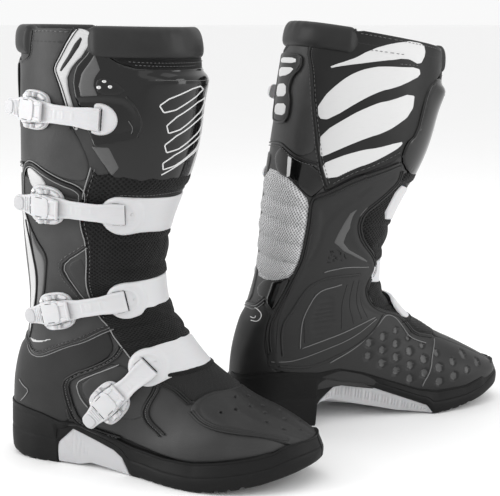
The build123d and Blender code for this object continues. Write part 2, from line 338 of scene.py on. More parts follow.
def end_caps(rows, columns):
    """Faces closing the first and the last loop of a tube of rows x columns points."""
    last = (rows - 1) * columns
    return [tuple(range(columns)), tuple(last + c for c in range(columns))[::-1]]


def inset_ring(polygon, amount):
    """The polygon's points moved inwards along their normals."""
    tangent = np.roll(polygon, -1, 0) - np.roll(polygon, 1, 0)
    tangent /= np.linalg.norm(tangent, axis=1)[:, None] + 1e-12
    normal = np.stack([-tangent[:, 1], tangent[:, 0]], -1)
    return polygon + normal * (amount if signed_area(polygon) > 0 else -amount)


def fill(polygon, step, rings=(), holes=()):
    """Triangles filling a flat polygon: an even grid, rings just inside its edge, and holes' outlines."""
    points = [polygon]
    keep_off = step * 0.6
    for amount in rings:
        ring = inset_ring(polygon, amount)
        good = inside(ring, polygon)
        ring = ring[good]
        if len(ring):
            ring = ring[edge_distance(ring, polygon) > amount * 0.8]
        points.append(ring)
        keep_off = amount + step * 0.5
    low, high = polygon.min(0), polygon.max(0)
    gx, gy = np.meshgrid(np.arange(low[0], high[0], step), np.arange(low[1], high[1], step * 0.87))
    gx = gx + (np.arange(gx.shape[0]) % 2)[:, None] * step / 2
    grid = np.stack([gx.ravel(), gy.ravel()], -1)
    grid = grid[inside(grid, polygon)]
    if len(grid):
        grid = grid[edge_distance(grid, polygon) > keep_off]
    for hole in holes:
        middle = hole.mean(0)
        reach = np.linalg.norm(hole - middle, axis=1).max()
        near = np.linalg.norm(grid - middle, axis=1) < reach + step
        keep = ~near
        close = grid[near]
        keep[near] = (edge_distance(close, hole) > 0.55 * step) if len(close) else keep[near]
        grid = grid[keep]
        points += [hole, inset_ring(hole, 0.9)]
    points.append(grid)
    every = np.concatenate(points)
    n = len(polygon)
    edges = [(i, (i + 1) % n) for i in range(n)]
    verts, _, faces, origin, _, _ = geometry.delaunay_2d_cdt(
        [Vector(p) for p in every], edges, [list(range(n))], 1, 1e-5)
    verts = np.array([tuple(v) for v in verts])
    order = {}
    for new, olds in enumerate(origin):
        for old in olds:
            order.setdefault(old, new)
    boundary = [order[i] for i in range(n)]
    return verts, [tuple(f) for f in faces], boundary


def ua_polygon(outline, rounds=2, step=2.2):
    """(u, angle) corners to a softened, evenly spaced flat polygon."""
    flat = to_flat(outline)
    if rounds:
        flat = soften(flat, rounds, True)
    return resample(flat, step, True)


def panel(name, side, outline, material, base=0.4, thick=1.2, edge=1.0, rounds=2, step=3.0, relief=None,
          share=None, fine=2.2, holes=()):
    """A raised panel lying on the boot, with a rounded edge; relief(flat, distance) adds to its height.

    With holes, material is a pair, and the second one colours the faces inside the holes' outlines.
    """
    polygon = ua_polygon(outline, rounds, fine)
    flat, faces, boundary = fill(polygon, step, (edge * 0.35, edge), holes)
    distance = edge_distance(flat, polygon)
    t = np.clip(distance / max(edge, 1e-6), 0, 1)
    height = base + thick * np.sqrt(np.clip(1 - (1 - t) ** 2, 0, 1))
    if relief is not None:
        height = height + relief(flat, distance)
    u, angle = from_flat(flat)
    points = surface(u, angle, height)
    skirt_u, skirt_angle = from_flat(flat[boundary])
    skirt = surface(skirt_u, skirt_angle, np.full(len(boundary), base - 1.2))
    count = len(points)
    n = len(boundary)
    anticlockwise = signed_area(polygon) > 0
    for i in range(n):
        j = (i + 1) % n
        quad = (boundary[i], count + i, count + j, boundary[j])
        faces.append(quad if anticlockwise else quad[::-1])
    verts = boot_to_world(np.concatenate([points, skirt]), side, share)
    flats = np.concatenate([flat, flat[boundary]])
    obj = new_mesh(name, verts, fix_winding(side, faces), material, flats)
    if len(holes):
        middles = np.array([flats[list(f)].mean(0) for f in faces])
        index = np.zeros(len(faces), np.int32)
        for hole in holes:
            index[inside(middles, inset_ring(hole, 0.9))] = 1
        obj.data.polygons.foreach_set("material_index", index)
    return obj


def lay_panel(name, side, part, slot, outline, material, replaced=(), **settings):
    """A panel that follows the side's foot or shaft, or both across the ankle."""
    if part != "both":
        settings["share"] = SHARE[part]
    attach(panel(f"{side}_{name}", side, outline, material, **settings), side, part, replaced)


def path_points(flat, height, side, share=None):
    """World points and outward normals along a flat path at one height over the surface."""
    u, angle = from_flat(flat)
    low = boot_to_world(surface(u, angle, np.asarray(height, float) - 0.5), side, share)
    high = boot_to_world(surface(u, angle, np.asarray(height, float) + 0.5), side, share)
    normal = high - low
    normal /= np.linalg.norm(normal, axis=1)[:, None] + 1e-12
    return (low + high) / 2, normal


def tube(gather, flat, height, radius, side, closed=False, sides=8, flatten=1.0, share=None):
    """A round cord along a flat path, its middle at the given height over the surface (mm)."""
    flat = np.asarray(flat, float)
    centre, normal = path_points(flat, height, side, share)
    if closed:
        tangent = np.roll(centre, -1, 0) - np.roll(centre, 1, 0)
    else:
        tangent = np.gradient(centre, axis=0)
    tangent /= np.linalg.norm(tangent, axis=1)[:, None] + 1e-12
    across = np.cross(tangent, normal)
    across /= np.linalg.norm(across, axis=1)[:, None] + 1e-12
    radius = np.broadcast_to(np.asarray(radius, float), (len(flat),)) / MM
    turn = np.linspace(0, 2 * np.pi, sides, endpoint=False)
    ring = across[:, None, :] * np.cos(turn)[None, :, None]
    ring = ring + flatten * normal[:, None, :] * np.sin(turn)[None, :, None]
    verts = centre[:, None, :] + ring * radius[:, None, None]
    rows = len(flat)
    faces = []
    for r in range(rows if closed else rows - 1):
        n = (r + 1) % rows
        for c in range(sides):
            d = (c + 1) % sides
            faces.append((r * sides + c, r * sides + d, n * sides + d, n * sides + c))
    if not closed:
        faces += [cap[::-1] for cap in end_caps(rows, sides)]
    gather.add(verts.reshape(-1, 3), faces)


def stitches(gather, flat, height, side, length=3.0, gap=1.3, width=0.75, closed=False, share=None):
    """A row of thread stitches along a flat path."""
    fine = resample(flat, 0.5, closed)
    if closed:
        fine = np.vstack([fine, fine[:1]])
    run = np.r_[0, np.cumsum(np.linalg.norm(np.diff(fine, axis=0), axis=1))]
    starts = np.arange(gap / 2, run[-1] - length, length + gap)
    if not len(starts):
        return
    profile = np.array([0, 0.25, 0.5, 0.75, 1.0])
    rise = np.array([-0.25, 0.18, 0.28, 0.18, -0.25])
    thick = np.array([0.35, 0.9, 1.0, 0.9, 0.35]) * width / 2
    at = (starts[:, None] + profile[None, :] * length).ravel()
    where = np.stack([np.interp(at, run, fine[:, k]) for k in (0, 1)], -1)
    centre, normal = path_points(where, height + np.tile(rise, len(starts)), side, share)
    centre = centre.reshape(-1, 5, 3)
    normal = normal.reshape(-1, 5, 3)
    tangent = centre[:, 4] - centre[:, 0]
    tangent /= np.linalg.norm(tangent, axis=1)[:, None] + 1e-12
    across = np.cross(tangent[:, None, :], normal)
    turn = np.linspace(0, 2 * np.pi, 6, endpoint=False)
    ring = across[:, :, None, :] * np.cos(turn)[None, None, :, None]
    ring = ring + normal[:, :, None, :] * np.sin(turn)[None, None, :, None]
    verts = centre[:, :, None, :] + ring * (thick / MM)[None, :, None, None]
    faces = []
    for r in range(4):
        for c in range(6):
            d = (c + 1) % 6
            faces.append((r * 6 + c, r * 6 + d, (r + 1) * 6 + d, (r + 1) * 6 + c))
    faces.append((5, 4, 3, 2, 1, 0))
    faces.append(tuple(range(24, 30)))
    for k in range(len(starts)):
        gather.add(verts[k].reshape(-1, 3), faces)


def lay_cords(name, side, part, slot, material, cords, **settings):
    """Cords of one material as one piece; each is a (flat path, height, radius)."""
    gather = Gather(f"{side}_{name}", material)
    for flat, height, radius in cords:
        tube(gather, flat, height, radius, side, share=SHARE[part], **settings)
    attach(gather.build(), side, part)


def lay_shaft_stitching(name, side, lines, height, length):
    """Rows of grey stitches on the shaft as one piece."""
    gather = Gather(f"{side}_{name}", "thread_grey")
    for line in lines:
        stitches(gather, line_on(line), height, side, length, 1.2, 0.6, share=SHARE["shaft"])
    attach(gather.build(), side, "shaft")


# ---------------------------------------------------------------- materials


class Shader:
    """A material being put together from nodes; it is kept in MATERIALS under its name."""

    def __init__(self, name, colour, roughness, metallic=0.0, coat=0.0, sheen=0.0, specular=0.5,
                 subsurface=0.0):
        material = bpy.data.materials.new(name)
        material.use_nodes = True
        self.tree = material.node_tree
        self.bsdf = self.tree.nodes["Principled BSDF"]
        self.colour = colour if isinstance(colour, tuple) else (colour, colour, colour)
        values = {"Base Color": (*self.colour, 1), "Roughness": roughness, "Metallic": metallic,
                  "Coat Weight": coat, "Coat Roughness": 0.08, "Sheen Weight": sheen, "Sheen Roughness": 0.4,
                  "Specular IOR Level": specular, "Subsurface Weight": subsurface,
                  "Subsurface Scale": 0.002}
        for key, value in values.items():
            self.bsdf.inputs[key].default_value = value
        material.diffuse_color = (*self.colour, 1)
        self.coords = self.tree.nodes.new("ShaderNodeTexCoord")
        self.heights = []
        MATERIALS[name] = material

    def node(self, kind, inputs, **settings):
        node = self.tree.nodes.new(kind)
        for key, value in settings.items():
            setattr(node, key, value)
        for key, value in inputs.items():
            if isinstance(value, bpy.types.NodeSocket):
                self.tree.links.new(value, node.inputs[key])
            else:
                node.inputs[key].default_value = value
        return node

    def noise(self, scale, detail=3.0, space="Object"):
        return self.node("ShaderNodeTexNoise", {"Vector": self.coords.outputs[space], "Scale": scale,
                                                "Detail": detail}).outputs["Fac"]

    def cells(self, scale, randomness=1.0, space="Object", feature="F1", stretch=None):
        vector = self.coords.outputs[space]
        if stretch:
            vector = self.node("ShaderNodeMapping", {"Vector": vector, "Scale": stretch}).outputs[0]
        return self.node("ShaderNodeTexVoronoi", {"Vector": vector, "Scale": scale, "Randomness": randomness},
                         feature=feature).outputs["Distance"]

    def ribs(self, scale, direction="X", space="UV", turn=0.0):
        vector = self.node("ShaderNodeMapping", {"Vector": self.coords.outputs[space],
                                                 "Rotation": (0, 0, turn)}).outputs[0]
        return self.node("ShaderNodeTexWave", {"Vector": vector, "Scale": scale},
                         bands_direction=direction).outputs["Fac"]

    def maths(self, operation, a, b=0.0):
        node = self.tree.nodes.new("ShaderNodeMath")
        node.operation = operation
        for socket, value in zip(node.inputs, (a, b)):
            if isinstance(value, bpy.types.NodeSocket):
                self.tree.links.new(value, socket)
            else:
                socket.default_value = value
        return node.outputs[0]

    def spread(self, value, low, high, to_low=0.0, to_high=1.0):
        return self.node("ShaderNodeMapRange", {"Value": value, "From Min": low, "From Max": high,
                                                "To Min": to_low, "To Max": to_high}).outputs[0]

    def tint(self, factor, other):
        """Mixes the base colour towards another one by a factor."""
        other = other if isinstance(other, tuple) else (other, other, other)
        mix = self.tree.nodes.new("ShaderNodeMix")
        mix.data_type = "RGBA"
        self.tree.links.new(factor, mix.inputs[0])
        current = self.bsdf.inputs["Base Color"]
        if current.is_linked:
            self.tree.links.new(current.links[0].from_socket, mix.inputs[6])
        else:
            mix.inputs[6].default_value = current.default_value
        mix.inputs[7].default_value = (*other, 1)
        self.tree.links.new(mix.outputs[2], current)

    def rough(self, factor, low, high):
        self.tree.links.new(self.spread(factor, 0.0, 1.0, low, high), self.bsdf.inputs["Roughness"])

    def bump(self, height, depth_mm, strength=1.0):
        """Adds relief: depth_mm is how deep a change of height from 0 to 1 is."""
        inputs = {"Height": height, "Distance": depth_mm / MM, "Strength": strength}
        current = self.bsdf.inputs["Normal"]
        if current.is_linked:
            inputs["Normal"] = current.links[0].from_socket
        node = self.node("ShaderNodeBump", inputs)
        self.tree.links.new(node.outputs[0], current)


def leather(name, colour, roughness, grain=950.0, depth=0.10, worn=0.045, sheen=0.0):
    """Black leather: fine pebbled grain, broad creases and a slightly greyer bloom here and there."""
    shader = Shader(name, colour, roughness, sheen=sheen, specular=0.26)
    pebbles = shader.cells(grain, 1.0, feature="SMOOTH_F1")
    shader.bump(pebbles, depth, 0.7)
    shader.bump(shader.noise(2600, 2), 0.03, 0.6)
    shader.bump(shader.noise(42, 4), 0.7, 0.35)
    bloom = shader.noise(24, 6)
    shader.tint(shader.spread(bloom, 0.42, 0.72, 0.0, 0.55), worn)
    shader.rough(shader.noise(60, 5), roughness - 0.09, roughness + 0.12)
    return shader


def plastic(name, colour, roughness, stain, coat=0.0, grain=0.02, subsurface=0.0, specular=0.32):
    """Moulded plastic: a fine spark-eroded skin, faint scuffs and slightly uneven gloss."""
    shader = Shader(name, colour, roughness, coat=coat, subsurface=subsurface, specular=specular)
    shader.bump(shader.noise(3200, 2), grain, 0.5)
    shader.bump(shader.noise(30, 2), 0.25, 0.2)
    scuffs = shader.node("ShaderNodeTexNoise", {
        "Vector": shader.node("ShaderNodeMapping", {"Vector": shader.coords.outputs["Object"],
                                                    "Scale": (30, 30, 260)}).outputs[0], "Scale": 5.0,
        "Detail": 6.0}).outputs["Fac"]
    shader.tint(shader.spread(scuffs, 0.55, 0.75, 0.0, 0.35), stain)
    shader.rough(shader.noise(90, 6), max(roughness - 0.06, 0.03), roughness + 0.1)
    return shader


def knit(name, colour, dark, pitch=2.3, depth=0.5, roughness=0.8, holes=0.35):
    """Spacer mesh: rows of small open cells set in staggered lines; the cells are sunk and painted darker,
    partly the darker layer below and partly painted shade down in them.
    """
    shader = Shader(name, colour, roughness, sheen=0.06, specular=0.18)
    per_cm = 10.0 / pitch
    turned = shader.node("ShaderNodeMapping", {"Vector": shader.coords.outputs["UV"],
                                               "Rotation": (0, 0, math.radians(45)),
                                               "Scale": (1.0, 1.25, 1.0)}).outputs[0]
    dots = shader.node("ShaderNodeTexVoronoi", {"Vector": turned, "Scale": per_cm,
                                                "Randomness": 0.12}).outputs["Distance"]
    open_cells = shader.spread(dots, holes * 0.55, holes * 1.3, 1.0, 0.0)
    # Painted shade: the open cells are darkened as well as sunk, over the darker layer seen through them
    shader.tint(open_cells, dark)
    shader.bump(shader.maths("SUBTRACT", 1.0, open_cells), depth, 0.9)
    shader.bump(shader.ribs(per_cm * 1.6, "X"), 0.08, 0.5)
    shader.bump(shader.noise(55, 4), 0.5, 0.3)
    return shader


def make_materials():
    leather("calf_leather", 0.030, 0.42, worn=0.060)
    leather("foot_leather", 0.026, 0.42, worn=0.050)
    leather("collar_leather", 0.013, 0.44, grain=1250.0, depth=0.07, worn=0.024)
    leather("panel_leather", 0.006, 0.42, grain=1500.0, depth=0.04, worn=0.010)
    leather("pale_leather", 0.52, 0.42, grain=1300.0, depth=0.05, worn=0.40)
    leather("heel_leather", 0.010, 0.46, worn=0.020)
    plastic("gloss_black", 0.003, 0.10, 0.006, coat=0.2, grain=0.004, specular=0.3)
    plastic("satin_black", 0.006, 0.32, 0.014, grain=0.02)
    plastic("facet_grey", 0.075, 0.36, 0.11)
    plastic("white_plastic", (0.55, 0.55, 0.56), 0.36, 0.48, subsurface=0.05)
    plastic("boss_white", (0.50, 0.50, 0.51), 0.30, 0.42)
    plastic("silver_trim", 0.50, 0.36, 0.40, grain=0.03)
    plastic("emblem_line", 0.66, 0.32, 0.50)
    white_print = plastic("print_white", 0.60, 0.42, 0.52, grain=0.02)
    white_print.bump(white_print.cells(1500, 1.0), 0.03, 0.5)
    rubber = plastic("guard_rubber", 0.018, 0.44, 0.030, grain=0.05, specular=0.25)
    rubber.bump(rubber.cells(1800, 1.0), 0.04, 0.6)
    plastic("guard_line", 0.14, 0.38, 0.09)
    # Near-black plastic for the edge band's dots, and painted shade in slots, lever gaps, guard slits and the
    # toe guard's holes
    plastic("guard_dark", 0.004, 0.30, 0.008)
    plastic("dimple_grey", 0.060, 0.34, 0.09)
    sole = plastic("sole_rubber", 0.007, 0.50, 0.018, grain=0.05, specular=0.15)
    sole.bump(sole.noise(900, 5), 0.10, 0.6)
    tread = plastic("tread_rubber", 0.008, 0.60, 0.030, grain=0.06, specular=0.2)
    tread.bump(tread.noise(500, 5), 0.15, 0.6)
    white_rubber = plastic("white_rubber", (0.46, 0.46, 0.47), 0.44, 0.38, subsurface=0.04)
    white_rubber.bump(white_rubber.noise(1400, 3), 0.04, 0.5)
    knit("black_mesh", 0.011, 0.0015, pitch=3.2, depth=0.8)
    knit("white_mesh", (0.62, 0.62, 0.63), 0.22, pitch=2.9, depth=0.7, holes=0.36)
    elastic = Shader("elastic", 0.012, 0.62, sheen=0.06, specular=0.2)
    ribs = elastic.ribs(2.6, "X", turn=0.25)
    elastic.bump(ribs, 0.45, 0.9)
    # Painted shade: the grooves between the ribs are darkened
    elastic.tint(elastic.spread(ribs, 0.0, 0.4, 0.7, 0.0), 0.005)
    elastic.bump(elastic.ribs(9.0, "Y"), 0.10, 0.5)
    ribbed = Shader("ribbed_rubber", 0.009, 0.46, specular=0.25)
    rib_lines = ribbed.ribs(1.9, "Y")
    ribbed.bump(rib_lines, 0.5, 0.9)
    # Painted shade: the valleys between the ribs are darkened
    ribbed.tint(ribbed.spread(rib_lines, 0.0, 0.5, 0.8, 0.0), 0.004)
    ribbed.bump(ribbed.noise(1500, 3), 0.05, 0.5)
    lining = knit("lining", 0.022, 0.008, pitch=3.0, depth=0.3)
    lining.bump(lining.noise(35, 3), 0.8, 0.4)
    for name, colour in (("thread_black", 0.010), ("thread_grey", 0.10), ("thread_pale", 0.40)):
        thread = Shader(name, colour, 0.6, sheen=0.3)
        thread.bump(thread.ribs(40.0, "DIAGONAL", space="Object"), 0.08, 0.7)
        thread.tint(thread.spread(thread.noise(400, 2), 0.4, 0.7), colour * 0.6)
    for name, colour, roughness in (("piping_black", 0.007, 0.30), ("piping_grey", 0.22, 0.34)):
        piping = plastic(name, colour, roughness, colour * 1.7, grain=0.03)
        piping.bump(piping.noise(500, 3), 0.08, 0.5)
    steel = Shader("steel", 0.62, 0.26, metallic=1.0)
    steel.bump(steel.noise(900, 4), 0.02, 0.5)
    steel.rough(steel.noise(300, 5), 0.18, 0.42)
    foam = Shader("foam", 0.045, 0.85, sheen=0.3)
    foam.bump(foam.cells(700, 1.0), 0.2, 0.7)
    foam.tint(foam.spread(foam.noise(120, 4), 0.45, 0.7), 0.02)
    floor = Shader("floor", 0.95, 0.9, specular=0.05)
    floor.bump(floor.noise(30, 3), 0.1, 0.1)
    floor.tint(floor.spread(floor.noise(6, 3), 0.3, 0.8, 0.0, 0.3), 0.93)


make_materials()


# ---------------------------------------------------------------- which body each piece follows


def attach(obj, side, part, replaced=()):
    """Rides obj on the side's foot or shaft, or blends it across the ankle."""
    if obj is None:
        return None
    if part == "both":
        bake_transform(obj)
    else:
        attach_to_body(obj, side + "_" + part)
    if replaced:
        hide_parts(*[side + "_" + node for node in replaced])
    return obj


# ---------------------------------------------------------------- sole outline in side view

SOLE_TOP = ((-20, 36), (60, 38), (110, 42), (165, 30), (215, 22), (265, 22), (295, 29), (330, 42))


def sole_top_at(x):
    return np.interp(x, [p[0] for p in SOLE_TOP], [p[1] for p in SOLE_TOP])


# ---------------------------------------------------------------- skin and collar


# Where the leather's outside and the lining lie from the boot's surface
SKIN_OUT, LINING_OUT = 0.5, -4.2


def build_skin(side):
    """The leather body with its lining: one closed hollow shell from the rim to the toe."""
    angles = np.arange(0, 360, 3.0)
    outer_u = np.concatenate([np.arange(-0.92, 8, 0.16), np.arange(8, 18.95, 0.14)])
    inner_u = np.arange(-0.92, 17.9, 0.25)
    rows = []
    for places, out in ((outer_u, SKIN_OUT), (inner_u[::-1], LINING_OUT)):
        grid_u, grid_a = np.meshgrid(places, angles, indexing="ij")
        points = surface(grid_u, grid_a, out)
        foot = grid_u > 7.5
        floor = sole_top_at(points[..., 0]) + (-1.2 if out > 0 else 0.25)
        points[..., 2] = np.where(foot, np.maximum(points[..., 2], floor), points[..., 2])
        rows.append((points, to_flat(np.stack([grid_u, grid_a], -1))))
    (outer, outer_flat), (inner, inner_flat) = rows
    points = np.concatenate([inner, outer])
    flats = np.concatenate([inner_flat, outer_flat])
    count, columns = points.shape[:2]
    faces = grid_faces(count, columns, closed=True)
    faces += end_caps(count, columns)
    skin = new_mesh(side + "_leather_body", boot_to_world(points.reshape(-1, 3), side),
                    fix_winding(side, faces), ["foot_leather", "lining"], flats.reshape(-1, 2))
    lining_faces = (len(inner_u) - 1) * columns
    index = np.zeros(len(faces), np.int32)
    index[:lining_faces] = 1
    index[-2] = 1
    skin.data.polygons.foreach_set("material_index", index)
    attach(skin, side, "both", ("shaft_shell", "foot_shell", "ankle_gusset"))


def window(angle, start, end, soft=6.0):
    """1 between two angles, 0 outside them, with soft ends."""
    return smooth((angle - start) / soft + 0.5) * (1 - smooth((angle - end) / soft + 0.5))


def collar_fullness(angle):
    """How much the collar bulges: fully at the front roll and the rear roll, hardly where panels cover it."""
    wrapped = np.where(angle < 70, angle + 360, angle)
    return np.maximum(window(angle, 96, 204), window(wrapped, 296, 412))


def build_collar(side):
    """The padded ring round the rim: two fat rolls joined by two flat stretches, with fine creases."""
    angles = np.arange(0, 360, 1.5)
    turns = np.radians(np.arange(0, 360, 12.0))
    grid_a, turn = np.meshgrid(angles, turns, indexing="ij")
    full = collar_fullness(grid_a)
    c, s = np.cos(turn), np.sin(turn)
    shape_c = np.sign(c) * np.abs(c) ** 0.8
    shape_s = np.sign(s) * np.abs(s) ** 0.8
    middle_out = -2.6 + 0.9 * full
    half_out = 4.2 + 2.9 * full
    turn_a = np.radians(grid_a)
    creases = 0.22 * np.sin(turn_a * 31 + 2.2 * np.sin(turn_a * 5)) * np.clip(shape_s, 0, 1) * full
    out = middle_out + half_out * shape_c + creases
    front = window(grid_a, 96, 204, 20.0)
    middle_u = -0.53 + 0.03 * front
    half_u = 0.40 + 0.10 * full + 0.05 * front
    u = middle_u - half_u * shape_s
    points = surface(np.maximum(u, TOP), grid_a, out)
    points[..., 2] += np.maximum(TOP - u, 0) * 26.0
    faces = grid_faces(len(angles) + 1, len(turns), closed=True)
    wrap = len(angles)
    faces = [tuple((i // len(turns)) % wrap * len(turns) + i % len(turns) for i in f) for f in faces]
    collar = new_mesh(side + "_collar_roll", boot_to_world(points.reshape(-1, 3), side, 1.0),
                      fix_winding(side, [f[::-1] for f in faces]), "collar_leather",
                      to_flat(np.stack([u, grid_a], -1)).reshape(-1, 2))
    attach(collar, side, "shaft", ("collar",))


# ---------------------------------------------------------------- soft textile panels

PUFF_SEAMS = np.array([2.75, 3.30, 4.00, 4.36, 5.04, 5.62, 6.40, 7.18, 7.75, 8.40, 9.10, 9.80])


def puffs(u, seams, height, sharp=0.55):
    """Height of a row of sewn puffs between seam lines."""
    i = np.clip(np.searchsorted(seams, u) - 1, 0, len(seams) - 2)
    t = np.clip((u - seams[i]) / (seams[i + 1] - seams[i]), 0, 1)
    return height * np.abs(np.sin(np.pi * t)) ** sharp


BAND_SPANS = ((3.15, 4.22), (5.42, 6.55), (7.95, 9.35))


def build_front_mesh(side):
    """The pleated mesh up the front of the ankle."""
    outline = [(2.72, 102), (3.22, 98), (3.84, 98), (4.49, 105), (5.63, 102), (6.66, 110), (7.6, 114),
               (8.61, 118), (9.75, 127), (9.9, 160), (9.9, 200), (9.4, 226), (8.3, 232), (7.0, 238),
               (6.3, 236), (5.7, 226), (5.2, 232), (4.5, 254), (4.0, 256), (3.5, 244), (2.9, 238),
               (2.72, 180)]

    def relief(flat, distance):
        u, angle = from_flat(flat)
        covered = np.zeros(len(u))
        for low, high in BAND_SPANS:
            covered = np.maximum(covered, window(u, low, high, 0.15))
        middle = window(angle, 117, 250, 12.0)
        height = puffs(u, PUFF_SEAMS, 2.9) * (1 - 0.75 * covered) * (0.35 + 0.65 * middle)
        ribs = 0.35 * np.abs(np.sin(np.radians(angle - 100) * 14)) * window(angle, 100, 117, 4.0)
        wrinkle = 0.30 * np.sin(angle * 0.31 + 2.0 * np.sin(u * 3.1)) * np.sin(u * 9.0 + angle * 0.05)
        return height * smooth(distance / 5.0) + ribs + wrinkle * middle * (1 - covered)

    lay_panel("front_mesh", side, "both", "mesh", outline, "black_mesh", base=0.5, thick=0.6, edge=1.0,
              rounds=1, step=2.0, relief=relief)


BELLOWS_SEAMS = np.array([3.40, 4.02, 4.43, 4.89, 5.49, 6.12])


def build_bellows(side):
    """The white stretch mesh at the back of the ankle, sewn into five puffs."""
    outline = [(3.30, 374), (3.32, 350), (3.44, 329), (3.62, 314), (3.87, 299), (4.38, 296), (4.87, 296),
               (5.47, 298), (6.00, 304), (6.14, 322), (6.20, 347), (6.16, 372), (5.52, 378), (4.90, 379),
               (4.47, 379), (4.0, 378)]

    def relief(flat, distance):
        u, angle = from_flat(flat)
        tilt = (angle - 320) * 0.0015
        wrinkle = 0.22 * np.sin(angle * 0.6 + u * 5.0) * np.sin(u * 14.0)
        return puffs(u + tilt, BELLOWS_SEAMS, 3.6, 0.5) * smooth(distance / 5.0) + wrinkle

    mesh = panel(side + "_rear_bellows", side, outline, "white_mesh", base=0.5, thick=0.5, edge=1.0,
                 rounds=1, step=1.7, relief=relief)
    attach(mesh, side, "shaft")
    thread = Gather(side + "_bellows_seams", "thread_grey")
    for seam in BELLOWS_SEAMS[1:-1]:
        route = to_flat([(seam + 0.05, 301), (seam + 0.02, 320), (seam, 345), (seam, 370)])
        line = resample(route, 2.0, False)
        stitches(thread, line, 0.9, side, 2.2, 1.2, 0.6, share=1.0)
    attach(thread.build(), side, "shaft")


# ---------------------------------------------------------------- leather and printed panels

# Long seams that several pieces share, as (u, angle)
TRIM_OUTER = [(-0.95, 89), (-0.32, 82), (0.52, 75.5), (0.81, 76), (1.46, 83), (1.95, 88.5)]
CALF_FRONT = [(2.65, 100), (3.22, 98), (3.84, 98), (4.49, 105), (5.63, 102), (6.66, 110), (7.04, 115)]
ANKLE_SEAM = [(7.04, 116), (7.20, 104), (7.62, 88), (8.24, 66), (8.15, 56), (7.5, 47), (7.05, 30), (6.9, 10),
              (6.85, -8), (6.62, -22)]
REAR_PIPING = [(-0.49, -31), (0.24, -26), (1.44, -36), (2.00, -43), (2.84, -57), (3.47, -72)]


def build_leather_panels(side):
    """The calf's leather panels and the ankle and heel ones."""
    calf_upper = TRIM_OUTER[::-1] + [(-0.93, 60), (-0.86, 53), (0.08, 52), (0.36, 38), (0.40, 22),
                                     (0.10, 10), (-0.30, 0), (-0.44, -28), (0.24, -25), (1.44, -35),
                                     (2.00, -42), (2.72, -54), (2.92, -37), (2.76, -18), (2.68, -8),
                                     (2.72, 20), (2.70, 48), (2.60, 58), (3.05, 97), (2.65, 100)]
    calf_lower = [(3.40, 97)] + CALF_FRONT[1:] + ANKLE_SEAM[1:7] + [(6.8, 6), (6.3, 12), (5.52, 17),
                                                                    (4.9, 18), (4.47, 18), (3.5, 15),
                                                                    (3.0, 8), (2.95, 20), (2.92, 45),
                                                                    (3.00, 58)]
    heel_upper = [(7.14, 114), (7.30, 104), (7.70, 88), (8.32, 66), (8.22, 54), (7.6, 45), (7.15, 30),
                  (7.0, 10), (6.95, -8), (6.75, -22), (7.1, -41), (8.0, -41), (8.9, -43), (9.6, -52),
                  (10.5, -60), (11.2, -30), (11.3, 0), (11.3, 30), (11.0, 60), (10.9, 82), (9.15, 81),
                  (8.24, 110)]
    for name, outline, material, part in (("calf_upper", calf_upper, "calf_leather", "shaft"),
                                          ("calf_lower", calf_lower, "calf_leather", "both"),
                                          ("heel_leather", heel_upper, "heel_leather", "both")):
        obj = panel(f"{side}_{name}", side, outline, material, base=0.5, thick=1.1, edge=1.6, rounds=2,
                    step=4.0)
        attach(obj, side, part, ("calf_panel",) if name == "calf_upper" else ())


def line_on(points, step=2.0, rounds=2):
    return resample(soften(to_flat(points), rounds, False), step, False)


def beside(flat, amount):
    """The same line shifted sideways by so many millimetres."""
    tangent = np.gradient(flat, axis=0)
    tangent /= np.linalg.norm(tangent, axis=1)[:, None] + 1e-12
    return flat + np.stack([-tangent[:, 1], tangent[:, 0]], -1) * amount


